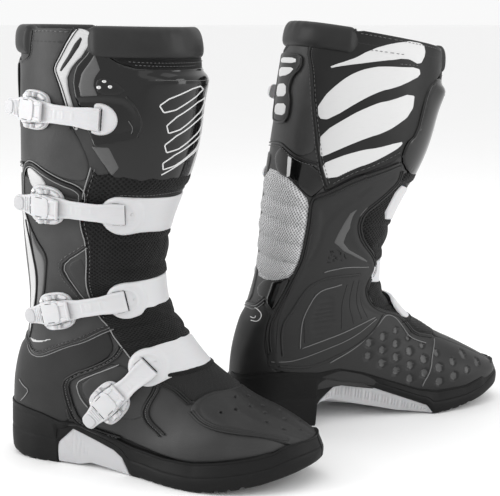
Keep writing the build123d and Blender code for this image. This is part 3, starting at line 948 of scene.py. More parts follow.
def build_seams(side):
    """Piping cords and rows of stitching over the leather."""
    black = {part: Gather(f"{side}_piping_{part}", "piping_black") for part in ("shaft", "both", "foot")}
    grey = {part: Gather(f"{side}_fine_line_{part}", "piping_grey") for part in ("shaft", "both", "foot")}
    thread = {part: Gather(f"{side}_stitching_{part}", "thread_grey") for part in ("shaft", "both", "foot")}

    def cord(part, points, radius=1.1, height=1.5, shift=0.0, gather=None, rounds=2):
        line = beside(line_on(points, 2.0, rounds), shift)
        tube((gather or black)[part], line, height, radius, side, share=SHARE[part])

    def sew(part, points, shift=0.0, height=1.75, length=2.6, rounds=2):
        line = beside(line_on(points, 2.0, rounds), shift)
        stitches(thread[part], line, height, side, length, 1.3, 0.7, share=SHARE[part])

    # V-shaped seam of the calf
    v_line = [(3.42, 98), (3.15, 97), (2.90, 78), (2.66, 60), (2.76, 50), (3.1, 46), (3.6, 50)]
    cord("shaft", v_line, 1.3)
    cord("shaft", v_line, 0.45, 2.2, 1.9, grey)
    cord("shaft", v_line, 0.45, 2.0, -2.2, grey)
    # Ankle: double cord with a grey line between, wrapping round the back of the heel
    for shift, radius, gather in ((0.0, 1.2, black), (3.4, 1.1, black), (1.7, 0.5, grey), (5.4, 0.45, grey)):
        cord("both", ANKLE_SEAM, radius, 1.6, shift, gather)
    sew("both", ANKLE_SEAM, -2.4)
    # Front edge of the calf leather against the mesh
    cord("both", CALF_FRONT + [(7.6, 115), (8.61, 119), (9.7, 127)], 0.6, 1.9, 0.0, grey)
    sew("both", CALF_FRONT, 3.0)
    # Hexagonal overlay at the ankle
    hexagon = [(4.40, 104), (4.74, 89), (5.06, 88), (6.02, 99), (6.10, 104)]
    cord("shaft", hexagon, 1.0, 1.7, 0.0, rounds=1)
    cord("shaft", hexagon, 0.4, 2.0, 1.6, grey, rounds=1)
    sew("shaft", hexagon, -2.2, rounds=1)
    # Rear piping and the seam across the calf's back
    cord("shaft", REAR_PIPING, 1.3, 1.6)
    sew("shaft", REAR_PIPING, 2.6)
    sew("shaft", REAR_PIPING, -2.6)
    across = [(2.72, 46), (2.74, 20), (2.68, -8), (2.78, -18), (2.94, -37), (2.98, -58)]
    cord("shaft", across, 1.0, 1.5)
    sew("shaft", across, 2.4)
    # Collar seams
    roll_seam = [(-0.86, 56), (-0.5, 54), (0.08, 52), (0.34, 38), (0.38, 24), (0.10, 10), (-0.25, 0),
                 (-0.34, -15), (-0.42, -30)]
    cord("shaft", roll_seam, 0.9, 1.7)
    sew("shaft", roll_seam, 2.3)
    sew("shaft", [(-0.84, 86), (-0.86, 70), (-0.84, 59)], 0.0, 2.1)
    cord("shaft", [(-0.42, -32), (-0.50, -46), (-0.68, -58), (-0.98, -65)], 0.9, 1.8)
    # Foot: hexagonal ankle panel with double stitched edge, and its seam down to the sole
    ankle_panel = [(7.95, 116), (8.42, 108), (9.14, 83), (9.6, 80), (10.84, 82), (12.2, 77)]
    for shift in (-1.7, 1.7):
        cord("both", ankle_panel, 1.0, 1.6, shift, rounds=1)
    sew("both", ankle_panel, 0.0, 2.0, rounds=1)
    cord("both", [(8.66, 110), (9.10, 92), (9.42, 86.5), (10.0, 86.5), (10.55, 89)], 0.5, 1.9, 0.0, grey,
         rounds=1)
    toe_seam = [(9.74, 129), (10.07, 126), (10.64, 121), (11.86, 100), (12.9, 92)]
    for shift in (-1.6, 1.6):
        cord("foot", toe_seam, 1.0, 1.6, shift)
    sew("foot", toe_seam, 0.0, 2.0)
    # Pull tab at the back of the ankle panel
    cord("foot", [(10.45, 79.5), (10.85, 78.5)], 1.6, 1.6)
    # Thin outline motif on the heel counter
    motif = [(9.2, 40), (9.42, 46), (9.62, 53), (9.85, 48), (10.0, 42)]
    cord("foot", motif, 0.45, 1.9, 0.0, {"foot": grey["foot"]})
    motif = ([(7.66, -14), (7.70, -27), (7.12, -28), (6.92, -14), (6.95, 2)],
             [(7.40, -8), (7.44, -18), (7.25, -17)])
    lay_cords("heel_motif", side, "both", "leather", "emblem_line",
              [(line_on(line), 1.9, 0.45) for line in motif])
    for part in ("shaft", "both", "foot"):
        for gather in (black, grey, thread):
            attach(gather[part].build(), side, part)


def build_calf_details(side):
    """The silver chevron, the pale blade, the overlays and the glossy band at the back."""
    chevron = [(-0.95, 89), (-0.32, 82), (0.52, 75.5), (0.81, 76), (1.46, 83), (1.95, 89), (1.97, 91),
               (1.52, 87.5), (1.22, 84.5), (0.86, 83.5), (-0.57, 95.5), (-0.60, 101), (-0.44, 111),
               (-0.70, 101), (-0.93, 93)]
    lay_panel("chevron_trim", side, "shaft", "leather", chevron, "silver_trim", base=1.5, thick=0.8, edge=0.8,
              rounds=1, step=2.5, fine=1.5)
    inlay = [(-0.74, 90.5), (-0.62, 92.5), (0.74, 81.3), (0.68, 79)]
    lay_panel("chevron_inlay", side, "shaft", "leather", inlay, "satin_black", base=2.0, thick=0.6, edge=0.6,
              rounds=1, step=2.0, fine=1.2)
    trim_edge = line_on(TRIM_OUTER, 1.5, 1)
    lay_cords("chevron_edge", side, "shaft", "leather", "piping_black",
              [(beside(trim_edge, 1.6), 2.5, 0.45), (beside(trim_edge, -1.0), 1.8, 0.8)])
    blade = [(4.02, 61), (4.40, 66), (4.70, 75.5), (5.20, 74), (5.90, 69), (6.30, 60), (5.9, 62), (5.10, 67),
             (4.55, 63)]
    lay_panel("blade_overlay", side, "shaft", "leather", blade, "guard_line", base=1.2, thick=1.2, edge=1.5,
              rounds=2, step=2.5, fine=1.5)
    blade_edges = ([(3.7, 52), (4.25, 67), (4.63, 78), (5.14, 75), (5.90, 70.5), (6.35, 60)],
                   [(3.9, 53), (4.5, 61), (5.1, 64.5), (5.9, 60), (6.5, 52), (7.2, 47)])
    lay_cords("blade_edge", side, "shaft", "leather", "piping_black",
              [(line_on(line), 1.9, 0.9) for line in blade_edges])
    pale_strip = [(3.25, 50), (3.8, 56), (4.5, 60.5), (5.1, 63.5), (5.9, 59), (6.6, 50), (7.3, 46),
                  (7.78, 58), (7.5, 78), (7.25, 78), (7.42, 62), (7.0, 44), (6.4, 42), (5.6, 48), (4.6, 50),
                  (3.7, 42)]
    lay_panel("pale_strip", side, "both", "leather", pale_strip, "pale_leather", base=0.9, thick=0.9,
              edge=1.2, rounds=2, step=3.0)
    v_inlay = [(2.80, 53), (2.76, 59), (2.98, 74), (3.30, 76), (3.18, 62)]
    lay_panel("v_inlay", side, "shaft", "leather", v_inlay, "silver_trim", base=1.2, thick=0.8, edge=1.0,
              rounds=1, step=2.5, fine=1.5)
    hexagon = [(4.62, 103), (4.80, 92), (5.01, 91.5), (5.74, 100), (5.80, 103)]
    lay_panel("ankle_hexagon", side, "shaft", "leather", hexagon, "foot_leather", base=1.0, thick=0.9,
              edge=1.4, rounds=1, step=2.5)
    gloss = [(2.74, -8), (2.84, -18), (2.98, -37), (3.04, -57), (3.45, -71), (3.72, -64), (3.80, -61),
             (3.60, -46), (3.42, -31), (3.40, -17), (3.30, -6), (3.0, 2)]
    lay_panel("gloss_band", side, "shaft", "leather", gloss, "gloss_black", base=0.6, thick=1.4, edge=1.6,
              rounds=1, step=3.0)
    stripe = [(2.93, -22.5), (2.96, -28.5), (3.37, -31), (3.41, -26.5)]
    lay_panel("gloss_stripe", side, "shaft", "leather", stripe, "print_white", base=1.75, thick=0.5, edge=0.5,
              rounds=0, step=2.0, fine=1.5)
    heel_band = [(6.16, -11), (6.16, -38), (6.02, -55), (6.55, -49), (7.02, -41), (6.90, -36), (6.66, -22),
                 (6.62, -4), (6.4, 2)]
    lay_panel("heel_band", side, "both", "leather", heel_band, "gloss_black", base=0.6, thick=1.3, edge=1.6,
              rounds=1, step=3.0)
    inner_panel = [(8.52, 109), (9.10, 93), (9.50, 88), (10.0, 88), (10.6, 90.5), (11.9, 99), (10.6, 119),
                   (10.05, 124), (9.5, 121)]
    lay_panel("ankle_panel", side, "foot", "leather", inner_panel, "foot_leather", base=0.7, thick=1.0,
              edge=2.0, rounds=1, step=3.0)


# ---------------------------------------------------------------- medial panel, rear patch


def build_medial_panel(side):
    """The big satin panel inside the calf with its white stripes, and the shield at the back."""
    outline = [(-0.97, 294), (-0.97, 272), (-0.97, 244), (-0.95, 221), (-0.62, 205), (-0.1, 206),
               (0.30, 219), (1.00, 232), (1.36, 239), (2.05, 239), (2.25, 247), (2.60, 245), (3.05, 268),
               (3.52, 284), (3.60, 290), (2.84, 304), (2.00, 318), (1.44, 325), (0.24, 335), (-0.40, 329),
               (-0.52, 314), (-0.68, 302)]
    lay_panel("inner_calf_panel", side, "shaft", "leather", outline, "panel_leather", ("inner_panel",),
              base=0.5, thick=1.1, edge=1.4, rounds=1, step=4.0)
    stripes = (
        [(0.93, 316), (0.30, 297), (-0.34, 284), (-0.90, 263), (-0.92, 246), (-0.60, 243), (-0.08, 248.5),
         (-0.30, 261), (0.10, 277), (0.50, 293)],
        [(1.74, 316.5), (0.76, 289), (0.32, 274), (0.02, 249), (0.52, 247), (0.98, 259), (1.30, 274),
         (2.02, 303), (2.04, 313)],
        [(2.34, 308), (1.64, 279), (1.14, 250), (1.62, 248.5), (2.10, 266), (2.70, 294), (2.84, 302),
         (2.62, 305)],
        [(3.02, 301), (2.62, 280), (2.20, 251), (2.29, 249), (2.70, 264), (3.36, 288)],
    )
    for number, stripe in enumerate(stripes):
        lay_panel(f"calf_stripe_{number + 1}", side, "shaft", "leather", stripe, "print_white", base=1.5,
                  thick=0.25, edge=0.5, rounds=1, step=4.0, fine=2.0)
    rows = ([(-0.86, 292), (-0.86, 262), (-0.86, 230), (-0.78, 214)], [(3.40, 285), (2.96, 270), (2.45, 249)],
            [(-0.40, 262), (-0.34, 284)], [(-0.06, 250), (0.05, 266)])
    lay_shaft_stitching("calf_panel_stitching", side, rows, 1.9, 2.4)
    dots = Gather(side + "_edge_band", "guard_dark")
    for offset in (3.0, 5.4):
        line = beside(line_on([(3.50, 286), (3.04, 269), (2.58, 246)], 1.9), -offset)
        middle, _ = path_points(line, 2.2, side, 1.0)
        for k in range(len(line)):
            here = line[k] + np.array([(-0.6, -0.6), (0.7, -0.4), (0.0, 0.8)])
            spot, _ = path_points(here, 1.72, side, 1.0)
            dots.add(np.vstack([spot, middle[k]]), [(0, 1, 3), (1, 2, 3), (2, 0, 3)])
    attach(dots.build(), side, "shaft")
    shield = [(0.42, -21), (0.40, 0), (0.44, 17), (0.95, 20), (1.60, 16), (2.20, 13), (2.26, 0), (2.20, -14),
              (1.78, -15), (1.55, -9.5), (1.25, -12), (0.98, -22)]
    lay_panel("rear_shield", side, "shaft", "guard_plastic", shield, "satin_black", ("rear_patch",), base=1.4,
              thick=2.4, edge=1.4, rounds=1, step=2.5, fine=1.5)
    lay_cords("rear_shield_rim", side, "shaft", "guard_plastic", "piping_black",
              [(ua_polygon(shield, 1, 2.0), 3.4, 1.0)], closed=True)
    blocks = ([(0.58, -14), (0.62, 12), (0.86, 14), (0.84, -15)],
              [(0.98, -15), (1.02, 14), (1.30, 12), (1.22, -7)],
              [(1.42, -5), (1.46, 11), (1.74, 10), (1.70, -8)],
              [(1.84, -10), (1.88, 9), (2.10, 8), (2.10, -10)])
    for number, block in enumerate(blocks):
        lay_panel(f"shield_bar_{number + 1}", side, "shaft", "guard_plastic", block, "print_white", base=3.6,
                  thick=0.5, edge=0.6, rounds=1, step=2.0, fine=1.2)


# ---------------------------------------------------------------- shin plate


def plate_crest(u, angle):
    """How much the shin plate stands forward at the fold across its top (mm)."""
    reach = np.where(u < 0.98, 0.20, 0.42)
    return 4.2 * np.exp(-((u - 0.98) / reach) ** 2) * smooth((angle - 122) / 30) * smooth((232 - angle) / 30)


def on_plate(flat, height):
    """Heights that follow the shin plate's fold along a flat path."""
    return height + plate_crest(*from_flat(np.asarray(flat, float)))


def build_shin_plate(side):
    """The glossy shin plate with facets, a recess for the upper strap's cap, ridges and an outline motif."""
    outline = [(-0.50, 101), (-0.40, 96), (0.30, 89), (0.98, 86.5), (1.38, 88), (1.92, 94), (2.41, 103),
               (2.87, 114), (2.99, 136), (3.04, 179), (3.02, 205), (2.90, 230), (2.62, 245), (2.22, 246),
               (2.04, 239.5), (1.32, 238.5), (1.02, 236), (0.40, 223), (0.50, 205), (0.56, 180), (0.54, 126),
               (0.28, 113), (-0.20, 104)]
    recess = ua_polygon([(1.40, 80), (1.34, 112), (1.50, 122), (1.80, 127), (2.02, 126), (2.06, 118),
                         (2.20, 96), (2.2, 80)], 2, 2.0)

    def relief(flat, distance):
        u, angle = from_flat(flat)
        height = 0.9 * smooth((u - 0.62) / 0.30) * smooth((angle - 118) / 14)
        height = height - 0.35 * np.exp(-((u - 0.93) / 0.035) ** 2) * (angle > 130)
        crest = np.exp(-((angle - 198) / 2.2) ** 2) * smooth((u - 0.9) / 0.2)
        height = height + 0.5 * crest
        sunk = inside(flat, recess)
        height = height - np.where(sunk, 1.0 * smooth(edge_distance(flat, recess) / 2.0), 0)
        lip = np.exp(-((distance - 2.6) / 0.8) ** 2)
        return height - 0.45 * lip + plate_crest(u, angle)

    lay_panel("shin_plate", side, "shaft", "guard_plastic", outline, "gloss_black", ("shin_plate",), base=0.6,
              thick=1.9, edge=1.6, rounds=1, step=2.2, relief=relief, fine=1.6)
    facets = {
        "facet_upper": [(-0.20, 98.5), (0.62, 101), (0.92, 98), (1.12, 97.5), (1.33, 100), (1.36, 91),
                        (1.14, 90), (0.78, 91)],
        "facet_lower": [(2.24, 99), (2.24, 109), (2.63, 117.5), (2.80, 114), (2.52, 106)],
        "facet_inner": [(0.70, 212), (0.62, 200), (0.80, 199), (1.12, 212), (1.40, 226), (2.00, 229),
                        (2.30, 236), (2.10, 238), (1.34, 236), (1.06, 230)],
    }
    for name, facet in facets.items():
        lay_panel(name, side, "shaft", "guard_plastic", facet, "facet_grey", base=2.3, thick=0.9, edge=1.2,
                  rounds=0, step=2.5, fine=1.5)
    lozenge = [(1.02, 98), (0.87, 103), (0.94, 107), (1.20, 117), (1.31, 113), (1.31, 100)]
    lay_panel("lozenge", side, "shaft", "guard_plastic", lozenge, "satin_black", base=2.2, thick=0.9,
              edge=0.8, rounds=1, step=2.0, fine=1.3)
    screws = Gather(side + "_plate_screws", "steel")
    for u, angle in ((1.00, 103.5), (1.15, 100.5), (1.13, 107.0)):
        spot = to_flat([(u, angle)])[0]
        ring = spot + 1.5 * np.stack([np.cos(np.arange(0, 6.28, 0.52)), np.sin(np.arange(0, 6.28, 0.52))], -1)
        low, _ = path_points(ring, 3.0, side, 1.0)
        top, _ = path_points(spot + (ring - spot) * 0.85, 3.5, side, 1.0)
        dip, _ = path_points(spot + (ring - spot) * 0.45, 3.3, side, 1.0)
        n = len(ring)
        faces = [(r * n + c, r * n + (c + 1) % n, (r + 1) * n + (c + 1) % n, (r + 1) * n + c)
                 for r in (0, 1) for c in range(n)]
        screws.add(np.vstack([low, top, dip]), faces + [tuple(2 * n + c for c in range(n))])
    attach(screws.build(), side, "shaft")
    slot = line_on([(1.33, 117), (1.52, 123.5), (1.78, 128.5), (1.90, 128.5), (2.05, 126)])
    lay_cords("plate_slot", side, "shaft", "guard_plastic", "piping_black", [(slot, 2.7, 0.9)])
    lines = Gather(side + "_plate_lines", "facet_grey")
    tube(lines, line_on([(1.76, 119.5), (1.88, 123), (1.98, 122)], 1.2), 2.6, 0.5, side, share=1.0)
    fold = line_on([(0.94, 136), (0.98, 170), (1.02, 197), (1.10, 205)])
    tube(lines, fold, on_plate(fold, 3.3), 0.35, side, share=1.0)
    attach(lines.build(), side, "shaft")
    motif = Gather(side + "_plate_motif", "emblem_line")
    bars = (([(1.44, 138.5), (1.10, 176), (1.24, 184), (1.66, 145)]),
            ([(1.78, 146), (1.36, 188), (1.52, 194), (2.02, 150)]),
            ([(2.12, 146), (1.66, 194), (1.86, 196), (2.38, 151)]),
            ([(2.48, 148), (2.02, 195), (2.20, 195), (2.72, 151)]))
    for bar in bars:
        path = ua_polygon(bar, 1, 1.6)
        tube(motif, path, on_plate(path, 3.45), 0.62, side, closed=True, share=1.0)
    for line in ([(1.08, 193), (1.25, 197), (1.9, 200)], [(2.78, 150), (2.5, 172), (2.28, 194)]):
        path = line_on(line, 1.6)
        tube(motif, path, on_plate(path, 3.45), 0.62, side, share=1.0)
    attach(motif.build(), side, "shaft")

    def ridges(_, distance):
        return 0.55 * np.abs(np.sin(distance * 1.15)) * smooth(distance / 1.5)

    collar_band = [(-0.46, 99), (-0.16, 110), (-0.06, 125), (-0.06, 188), (-0.14, 206), (0.36, 222),
                   (0.56, 205), (0.60, 185), (0.60, 126), (0.20, 112)]
    lower_band = [(2.66, 100), (2.94, 109), (3.08, 124), (3.10, 178), (3.06, 205), (2.94, 232), (3.12, 234),
                  (3.34, 205), (3.38, 184), (3.40, 140), (3.20, 114), (2.84, 102)]
    for name, band in (("collar_band", collar_band), ("shin_lower_band", lower_band)):
        lay_panel(name, side, "shaft", "leather", band, "ribbed_rubber", base=0.5, thick=1.2, edge=1.2,
                  rounds=1, step=1.5, relief=ridges, fine=1.6)
    rows = ([(0.16, 118), (0.22, 135), (0.22, 180), (0.18, 205)], [(0.34, 122), (0.40, 140), (0.40, 180)],
            [(3.22, 122), (3.25, 140), (3.22, 180), (3.20, 205)])
    lay_shaft_stitching("band_stitching", side, rows, 2.2, 2.2)


# ---------------------------------------------------------------- rubber guards of the foot

HEX_FIRST, HEX_ALONG, HEX_DOWN = np.array([157.0, 99.0]), np.array([16.1, -9.6]), np.array([-0.7, -13.4])

# A dimple's radius, and the widest that the surface may stretch one before it is left out
HEX_RADIUS, HEX_SPREAD = 5.3, 30


def hexagon_outlines(letter, keep):
    """Flat outlines of the dimples of a guard, on a slanted lattice in side view."""
    corners = np.radians(np.arange(0, 360, 60) + 30)
    outlines = []
    for i in range(-1, 10):
        for j in range(-1, 8):
            centre = HEX_FIRST + i * HEX_ALONG + j * HEX_DOWN
            if not keep(*centre):
                continue
            size = HEX_RADIUS * (0.82 if j <= 0 else 1.0)
            ring = centre + size * np.stack([np.cos(corners), np.sin(corners)], -1)
            flat = to_flat(on_side(letter, resample(ring, 1.6, True)))
            if np.ptp(flat, axis=0).max() < HEX_SPREAD:
                outlines.append(flat)
    return outlines


def dimple_relief(flat, outlines, depth):
    """Depth of the dimples at each flat point."""
    sunk = np.zeros(len(flat))
    for outline in outlines:
        middle = outline.mean(0)
        near = np.where(np.linalg.norm(flat - middle, axis=1) < 14)[0]
        if len(near):
            within = near[inside(flat[near], outline)]
            if len(within):
                sunk[within] = -depth * smooth(edge_distance(flat[within], outline) / 0.7)
    return sunk


def build_inner_guard(side):
    """The rubber guard inside the foot and ankle: piped edge, arcs, ladder, slits and hexagon dimples."""
    rear = [(3.87, 299), (4.40, 296), (4.87, 296.5), (5.42, 298), (6.00, 304), (6.85, 315), (7.60, 318),
            (8.40, 317), (9.00, 313.5)]
    front = [(12.3, 208), (11.0, 215), (9.6, 211), (8.66, 212), (8.00, 225), (7.40, 231), (6.70, 233),
             (6.35, 229), (5.92, 218), (5.60, 219), (5.20, 227), (4.70, 247), (4.36, 254), (4.05, 254),
             (3.70, 244), (3.20, 233), (2.86, 236), (2.66, 245)]
    top = [(3.06, 268), (3.54, 284), (3.72, 296)]
    feather = [(9.50, 314), (9.85, 303), (10.45, 286), (10.75, 277), (11.6, 274), (12.75, 282), (14.26, 297),
               (15.30, 308), (16.3, 306), (16.9, 282), (17.5, 266), (17.8, 240), (17.6, 214), (17.0, 203),
               (15.6, 199), (14.0, 200)]
    outline = rear + feather + front + top

    def keep(x, z):
        ridge = np.interp(x, (112, 122, 140, 152, 165), (58, 74, 90, 97, 100))
        floor = np.interp(x, (100, 133, 164, 197, 219, 254, 279), (60, 52, 40, 30, 27, 28, 36)) + 5
        roof = np.interp(x, (150, 184, 204, 232, 262, 285), (101, 92, 76, 68, 56, 45))
        return 114 < x < 283 and floor < z < min(ridge, roof) - 3

    dimples = hexagon_outlines("M", keep)
    dark = ua_polygon([(4.02, 288), (3.92, 280), (3.22, 259), (3.42, 259), (4.10, 275), (4.50, 280),
                       (4.85, 280), (5.44, 287), (5.80, 291), (5.55, 292), (4.82, 284), (4.36, 284)], 1, 2.0)
    shallow = ua_polygon([(6.75, 277), (8.70, 283), (8.66, 270), (6.62, 265)], 1, 2.0)

    def relief(flat, distance):
        u, angle = from_flat(flat)
        height = dimple_relief(flat, dimples, 1.7)
        for shape, depth in ((dark, 0.9), (shallow, 0.8)):
            within = inside(flat, shape)
            height = height - np.where(within, depth * smooth(edge_distance(flat, shape) / 1.5), 0)
        rungs = 0.7 * smooth((np.sin(u * 24.0 - angle * 0.1) - 0.1) / 0.5)
        rungs = rungs * smooth(edge_distance(flat, shallow) / 1.5)
        height = height + np.where(inside(flat, shallow), rungs, 0)
        height = height + 0.8 * np.exp(-((distance - 9.0) / 3.5) ** 2) * (u < 9.6)
        return height

    lay_panel("inner_guard", side, "both", "guard_plastic", outline, ["guard_rubber", "dimple_grey"],
              ("inner_guard",), base=0.6, thick=1.7, edge=1.6, rounds=1, step=2.3, relief=relief, fine=2.0,
              holes=dimples)
    edges = Gather(side + "_guard_piping", "piping_black")
    for shift, radius, height in ((1.3, 1.2, 2.3), (4.2, 0.9, 2.6)):
        tube(edges, beside(line_on(top + rear, 2.0, 1), -shift), height, radius, side)
        tube(edges, beside(line_on(front[:-1], 2.0, 1), -shift), height, radius, side)
        tube(edges, beside(line_on([front[-1]] + top, 2.0, 1), -shift), height, radius, side)
    attach(edges.build(), side, "both")
    ribs = Gather(side + "_guard_ribs", "guard_rubber")
    pale = Gather(side + "_guard_lines", "guard_line")
    for line in ([(4.60, 291), (5.39, 292), (6.85, 308), (8.99, 306)], [(9.20, 301), (8.01, 304), (6.42, 290),
                 (6.01, 272), (5.96, 245)], [(9.61, 304), (10.10, 280), (9.64, 257), (8.31, 230)]):
        tube(ribs, line_on(line), 2.2, 1.3, side, flatten=0.8)
    for line, radius in (([(5.84, 275), (5.74, 270), (5.63, 260), (5.68, 235)], 0.5),
                         ([(9.02, 289), (8.17, 288), (7.2, 284), (6.50, 278), (6.31, 262)], 0.55),
                         ([(9.04, 288), (8.85, 269), (8.36, 240)], 0.5),
                         ([(9.34, 310), (9.55, 292), (9.26, 265), (8.50, 240)], 0.4),
                         ([(10.12, 274), (9.82, 262), (8.99, 244), (8.38, 229), (8.52, 223), (9.07, 220),
                           (11.02, 224), (12.15, 224)], 0.6),
                         ([(12.56, 213), (13.15, 240), (13.61, 256), (14.07, 280)], 0.7)):
        tube(pale, line_on(line), 2.6, radius, side)
    attach(ribs.build(), side, "both")
    attach(pale.build(), side, "both")
    # Painted shade: near-black cords along the slits, the scattered nicks and the zigzag cut
    slit_shade = Gather(side + "_guard_slit_shade", "guard_dark")
    for line in ([(6.33, 257), (7.4, 262), (8.60, 266)], [(6.23, 251), (7.20, 255), (8.45, 258)],
                 [(6.20, 245), (7.09, 248), (8.26, 251)], [(6.28, 242), (8.26, 246)],
                 [(6.55, 279), (7.66, 286), (8.82, 286)]):
        tube(slit_shade, line_on(line), 2.25, 0.55, side, flatten=0.6)
    scatter = random.Random(7)
    for _ in range(26):
        u, angle = 5.02 + scatter.random() * 0.42, 274 - scatter.random() * 13
        spot = to_flat([(u, angle), (u + 0.02, angle - 1.0)])
        tube(slit_shade, resample(spot, 0.5, False), 2.4, 0.42, side, sides=6)
    zig = resample(to_flat([(3.80, 287), (3.46, 273), (3.07, 259)]), 2.0, False)
    zig = zig + np.stack([np.zeros(len(zig)), np.where(np.arange(len(zig)) % 2, 1.3, -1.3)], -1)
    tube(slit_shade, zig, 2.5, 0.5, side, flatten=0.7)
    attach(slit_shade.build(), side, "both")
    chevron = [(3.95, 266), (4.40, 269.5), (4.92, 272), (5.50, 238), (5.40, 237.5), (4.90, 266),
               (4.44, 264.5), (3.78, 252)]
    lay_panel("guard_chevron", side, "shaft", "guard_plastic", chevron, "facet_grey", base=2.0, thick=0.7,
              edge=0.8, rounds=1, step=2.0, fine=1.5)


def build_toe_guard(side):
    """The moulded toe cap: stepped edge, long flutes and holes; and the ribbed elastic behind it."""
    outline = [(12.22, 183), (11.95, 165), (11.62, 150), (11.84, 134), (12.20, 125), (12.86, 118),
               (13.70, 119), (14.7, 127), (15.5, 133), (16.3, 133), (16.9, 122), (17.4, 118), (17.8, 140),
               (17.8, 170), (17.5, 198), (16.4, 206), (15.0, 205), (13.6, 205), (12.5, 206), (12.3, 195)]
    holes = []
    for u, angle, long, wide in (
            (12.83, 166, 3.2, 2.2), (13.86, 169, 3.0, 2.0), (13.53, 153, 3.4, 2.3), (13.24, 140, 3.2, 2.2),
            (14.35, 181, 3.0, 2.0), (13.29, 181, 2.8, 1.9), (14.75, 172, 2.6, 1.8), (15.24, 189, 2.8, 1.9),
            (15.21, 160, 3.0, 2.0), (15.70, 178, 2.8, 1.9), (16.21, 193, 2.4, 1.7), (16.00, 160, 2.8, 1.9),
            (16.55, 174, 2.4, 1.7), (12.72, 188, 2.8, 1.9), (14.0, 195, 2.8, 1.9)):
        turn = np.linspace(0, 2 * np.pi, 14, endpoint=False)
        # The flat map is stretched along the toe, so the outline is widened there to stay oval on the boot
        oval = np.stack([wide * np.cos(turn), 2.0 * long * 0.6 * np.sin(turn)], -1)
        holes.append(to_flat([(u, angle)])[0] + oval)

    def relief(flat, distance):
        _, angle = from_flat(flat)
        step = -0.9 * (1 - smooth((distance - 3.4) / 0.9)) + 0.35 * np.exp(-((distance - 4.6) / 0.7) ** 2)
        edge_groove = -0.6 * np.exp(-((distance - 7.6) / 0.8) ** 2)
        flute = 0.35 * np.sin(angle * 0.30) * smooth((distance - 8) / 4)
        lateral = angle < 190
        return np.where(lateral, step + edge_groove, 0.2 * step) + flute + dimple_relief(flat, holes, 1.7)

    # The faces inside the holes are near-black: painted shade down in the holes
    lay_panel("toe_guard", side, "foot", "guard_plastic", outline, ["guard_rubber", "guard_dark"],
              ("toe_guard",), base=0.6, thick=2.1, edge=1.4, rounds=1, step=2.0, relief=relief, fine=1.8,
              holes=holes)
    band = [(9.55, 128), (9.10, 136), (8.85, 150), (8.80, 175), (9.1, 200), (9.7, 214), (11.0, 216),
            (12.4, 210), (12.4, 180), (12.1, 160), (11.75, 150), (11.85, 132), (11.15, 134), (10.64, 132),
            (9.92, 124)]

    def swell(flat, distance):
        u, angle = from_flat(flat)
        return 1.3 * smooth(distance / 10.0) + 0.35 * np.abs(np.sin((angle * 0.6 + u * 6.0)))

    lay_panel("instep_elastic", side, "foot", "mesh", band, "elastic", base=0.5, thick=0.7, edge=1.2,
              rounds=1, step=1.8, relief=swell)
    edge = line_on([(9.30, 128), (9.92, 127), (10.64, 133), (11.15, 133), (11.85, 130)])
    lay_cords("elastic_edge", side, "foot", "guard_plastic", "piping_black",
              [(beside(edge, shift), 1.9, 0.8) for shift in (-1.6, 0.4, 2.4)])
    flute = line_on([(12.3, 121), (13.2, 116), (14.0, 119), (15.4, 132), (16.5, 138)])
    lay_cords("toe_flutes", side, "foot", "guard_plastic", "guard_rubber",
              [(beside(flute, shift * 0.8), 2.2, 0.9) for shift in (3.0, 6.2, 9.4)])


# ---------------------------------------------------------------- sole

OUTLINE = np.array([(7, 0), (16, -27), (41, -38), (70, -39), (110, -41), (150, -47), (190, -59), (220, -62),
                    (250, -57), (280, -41), (302, -16), (309, 8), (300, 28), (272, 43), (240, 49), (212, 50),
                    (170, 45), (110, 39), (60, 37), (32, 33), (14, 19)], float)
WALL_TOP = {"L": ((-5, 49), (32, 49), (55, 47), (76, 42), (93, 43), (114, 38), (151, 28), (183, 24),
                  (212, 24), (239, 28), (263, 32), (280, 36), (291, 41), (302, 42), (315, 42)),
            "M": ((-5, 52), (12, 56), (31, 60), (54, 60), (85, 57), (106, 59), (133, 52), (164, 40),
                  (197, 28), (219, 24), (254, 25), (279, 32), (291, 39), (302, 42), (315, 42))}
FLOOR = ((-5, 14), (2, 10), (12, 4.5), (28, 0.6), (38, 0), (215, 0), (240, 2.5), (271, 8.5), (295, 15),
         (315, 22))
# The arch: where it starts and ends on each side, and its upper and lower lines there, as (x, z)
ARCH_TOP = {"L": ((70, 20), (86, 35), (129, 21), (138, 15), (146, 1)),
            "M": ((84, 20), (88, 26), (113, 47), (206, 10), (212, 2))}
ARCH_UNDER = {"L": ((70, 2), (92, 2), (104, 5), (146, 0.5)),
              "M": ((84, 19), (88, 24), (99, 25), (174, 6), (212, 1))}
# Where the arch starts on each side, and how long it is
ARCH_SPAN = {"L": (70, 76), "M": (84, 128)}
# Middles of the sidewall's grooves
GROOVES = [22, 34, 46, 58] + [158 + 11 * k for k in range(10)]


def table(pairs, x):
    return np.interp(x, [p[0] for p in pairs], [p[1] for p in pairs])


def closed_curve(points, per):
    """A smooth loop through the points (Catmull-Rom)."""
    a, b, c, d = (np.roll(points, k, 0) for k in (1, 0, -1, -2))
    t = np.linspace(0, 1, per, endpoint=False)[:, None, None]
    square, cube = 2 * a - 5 * b + 4 * c - d, 3 * b - a - 3 * c + d
    curve = 0.5 * (2 * b + (c - a) * t + square * t ** 2 + cube * t ** 3)
    return curve.transpose(1, 0, 2).reshape(-1, 2)


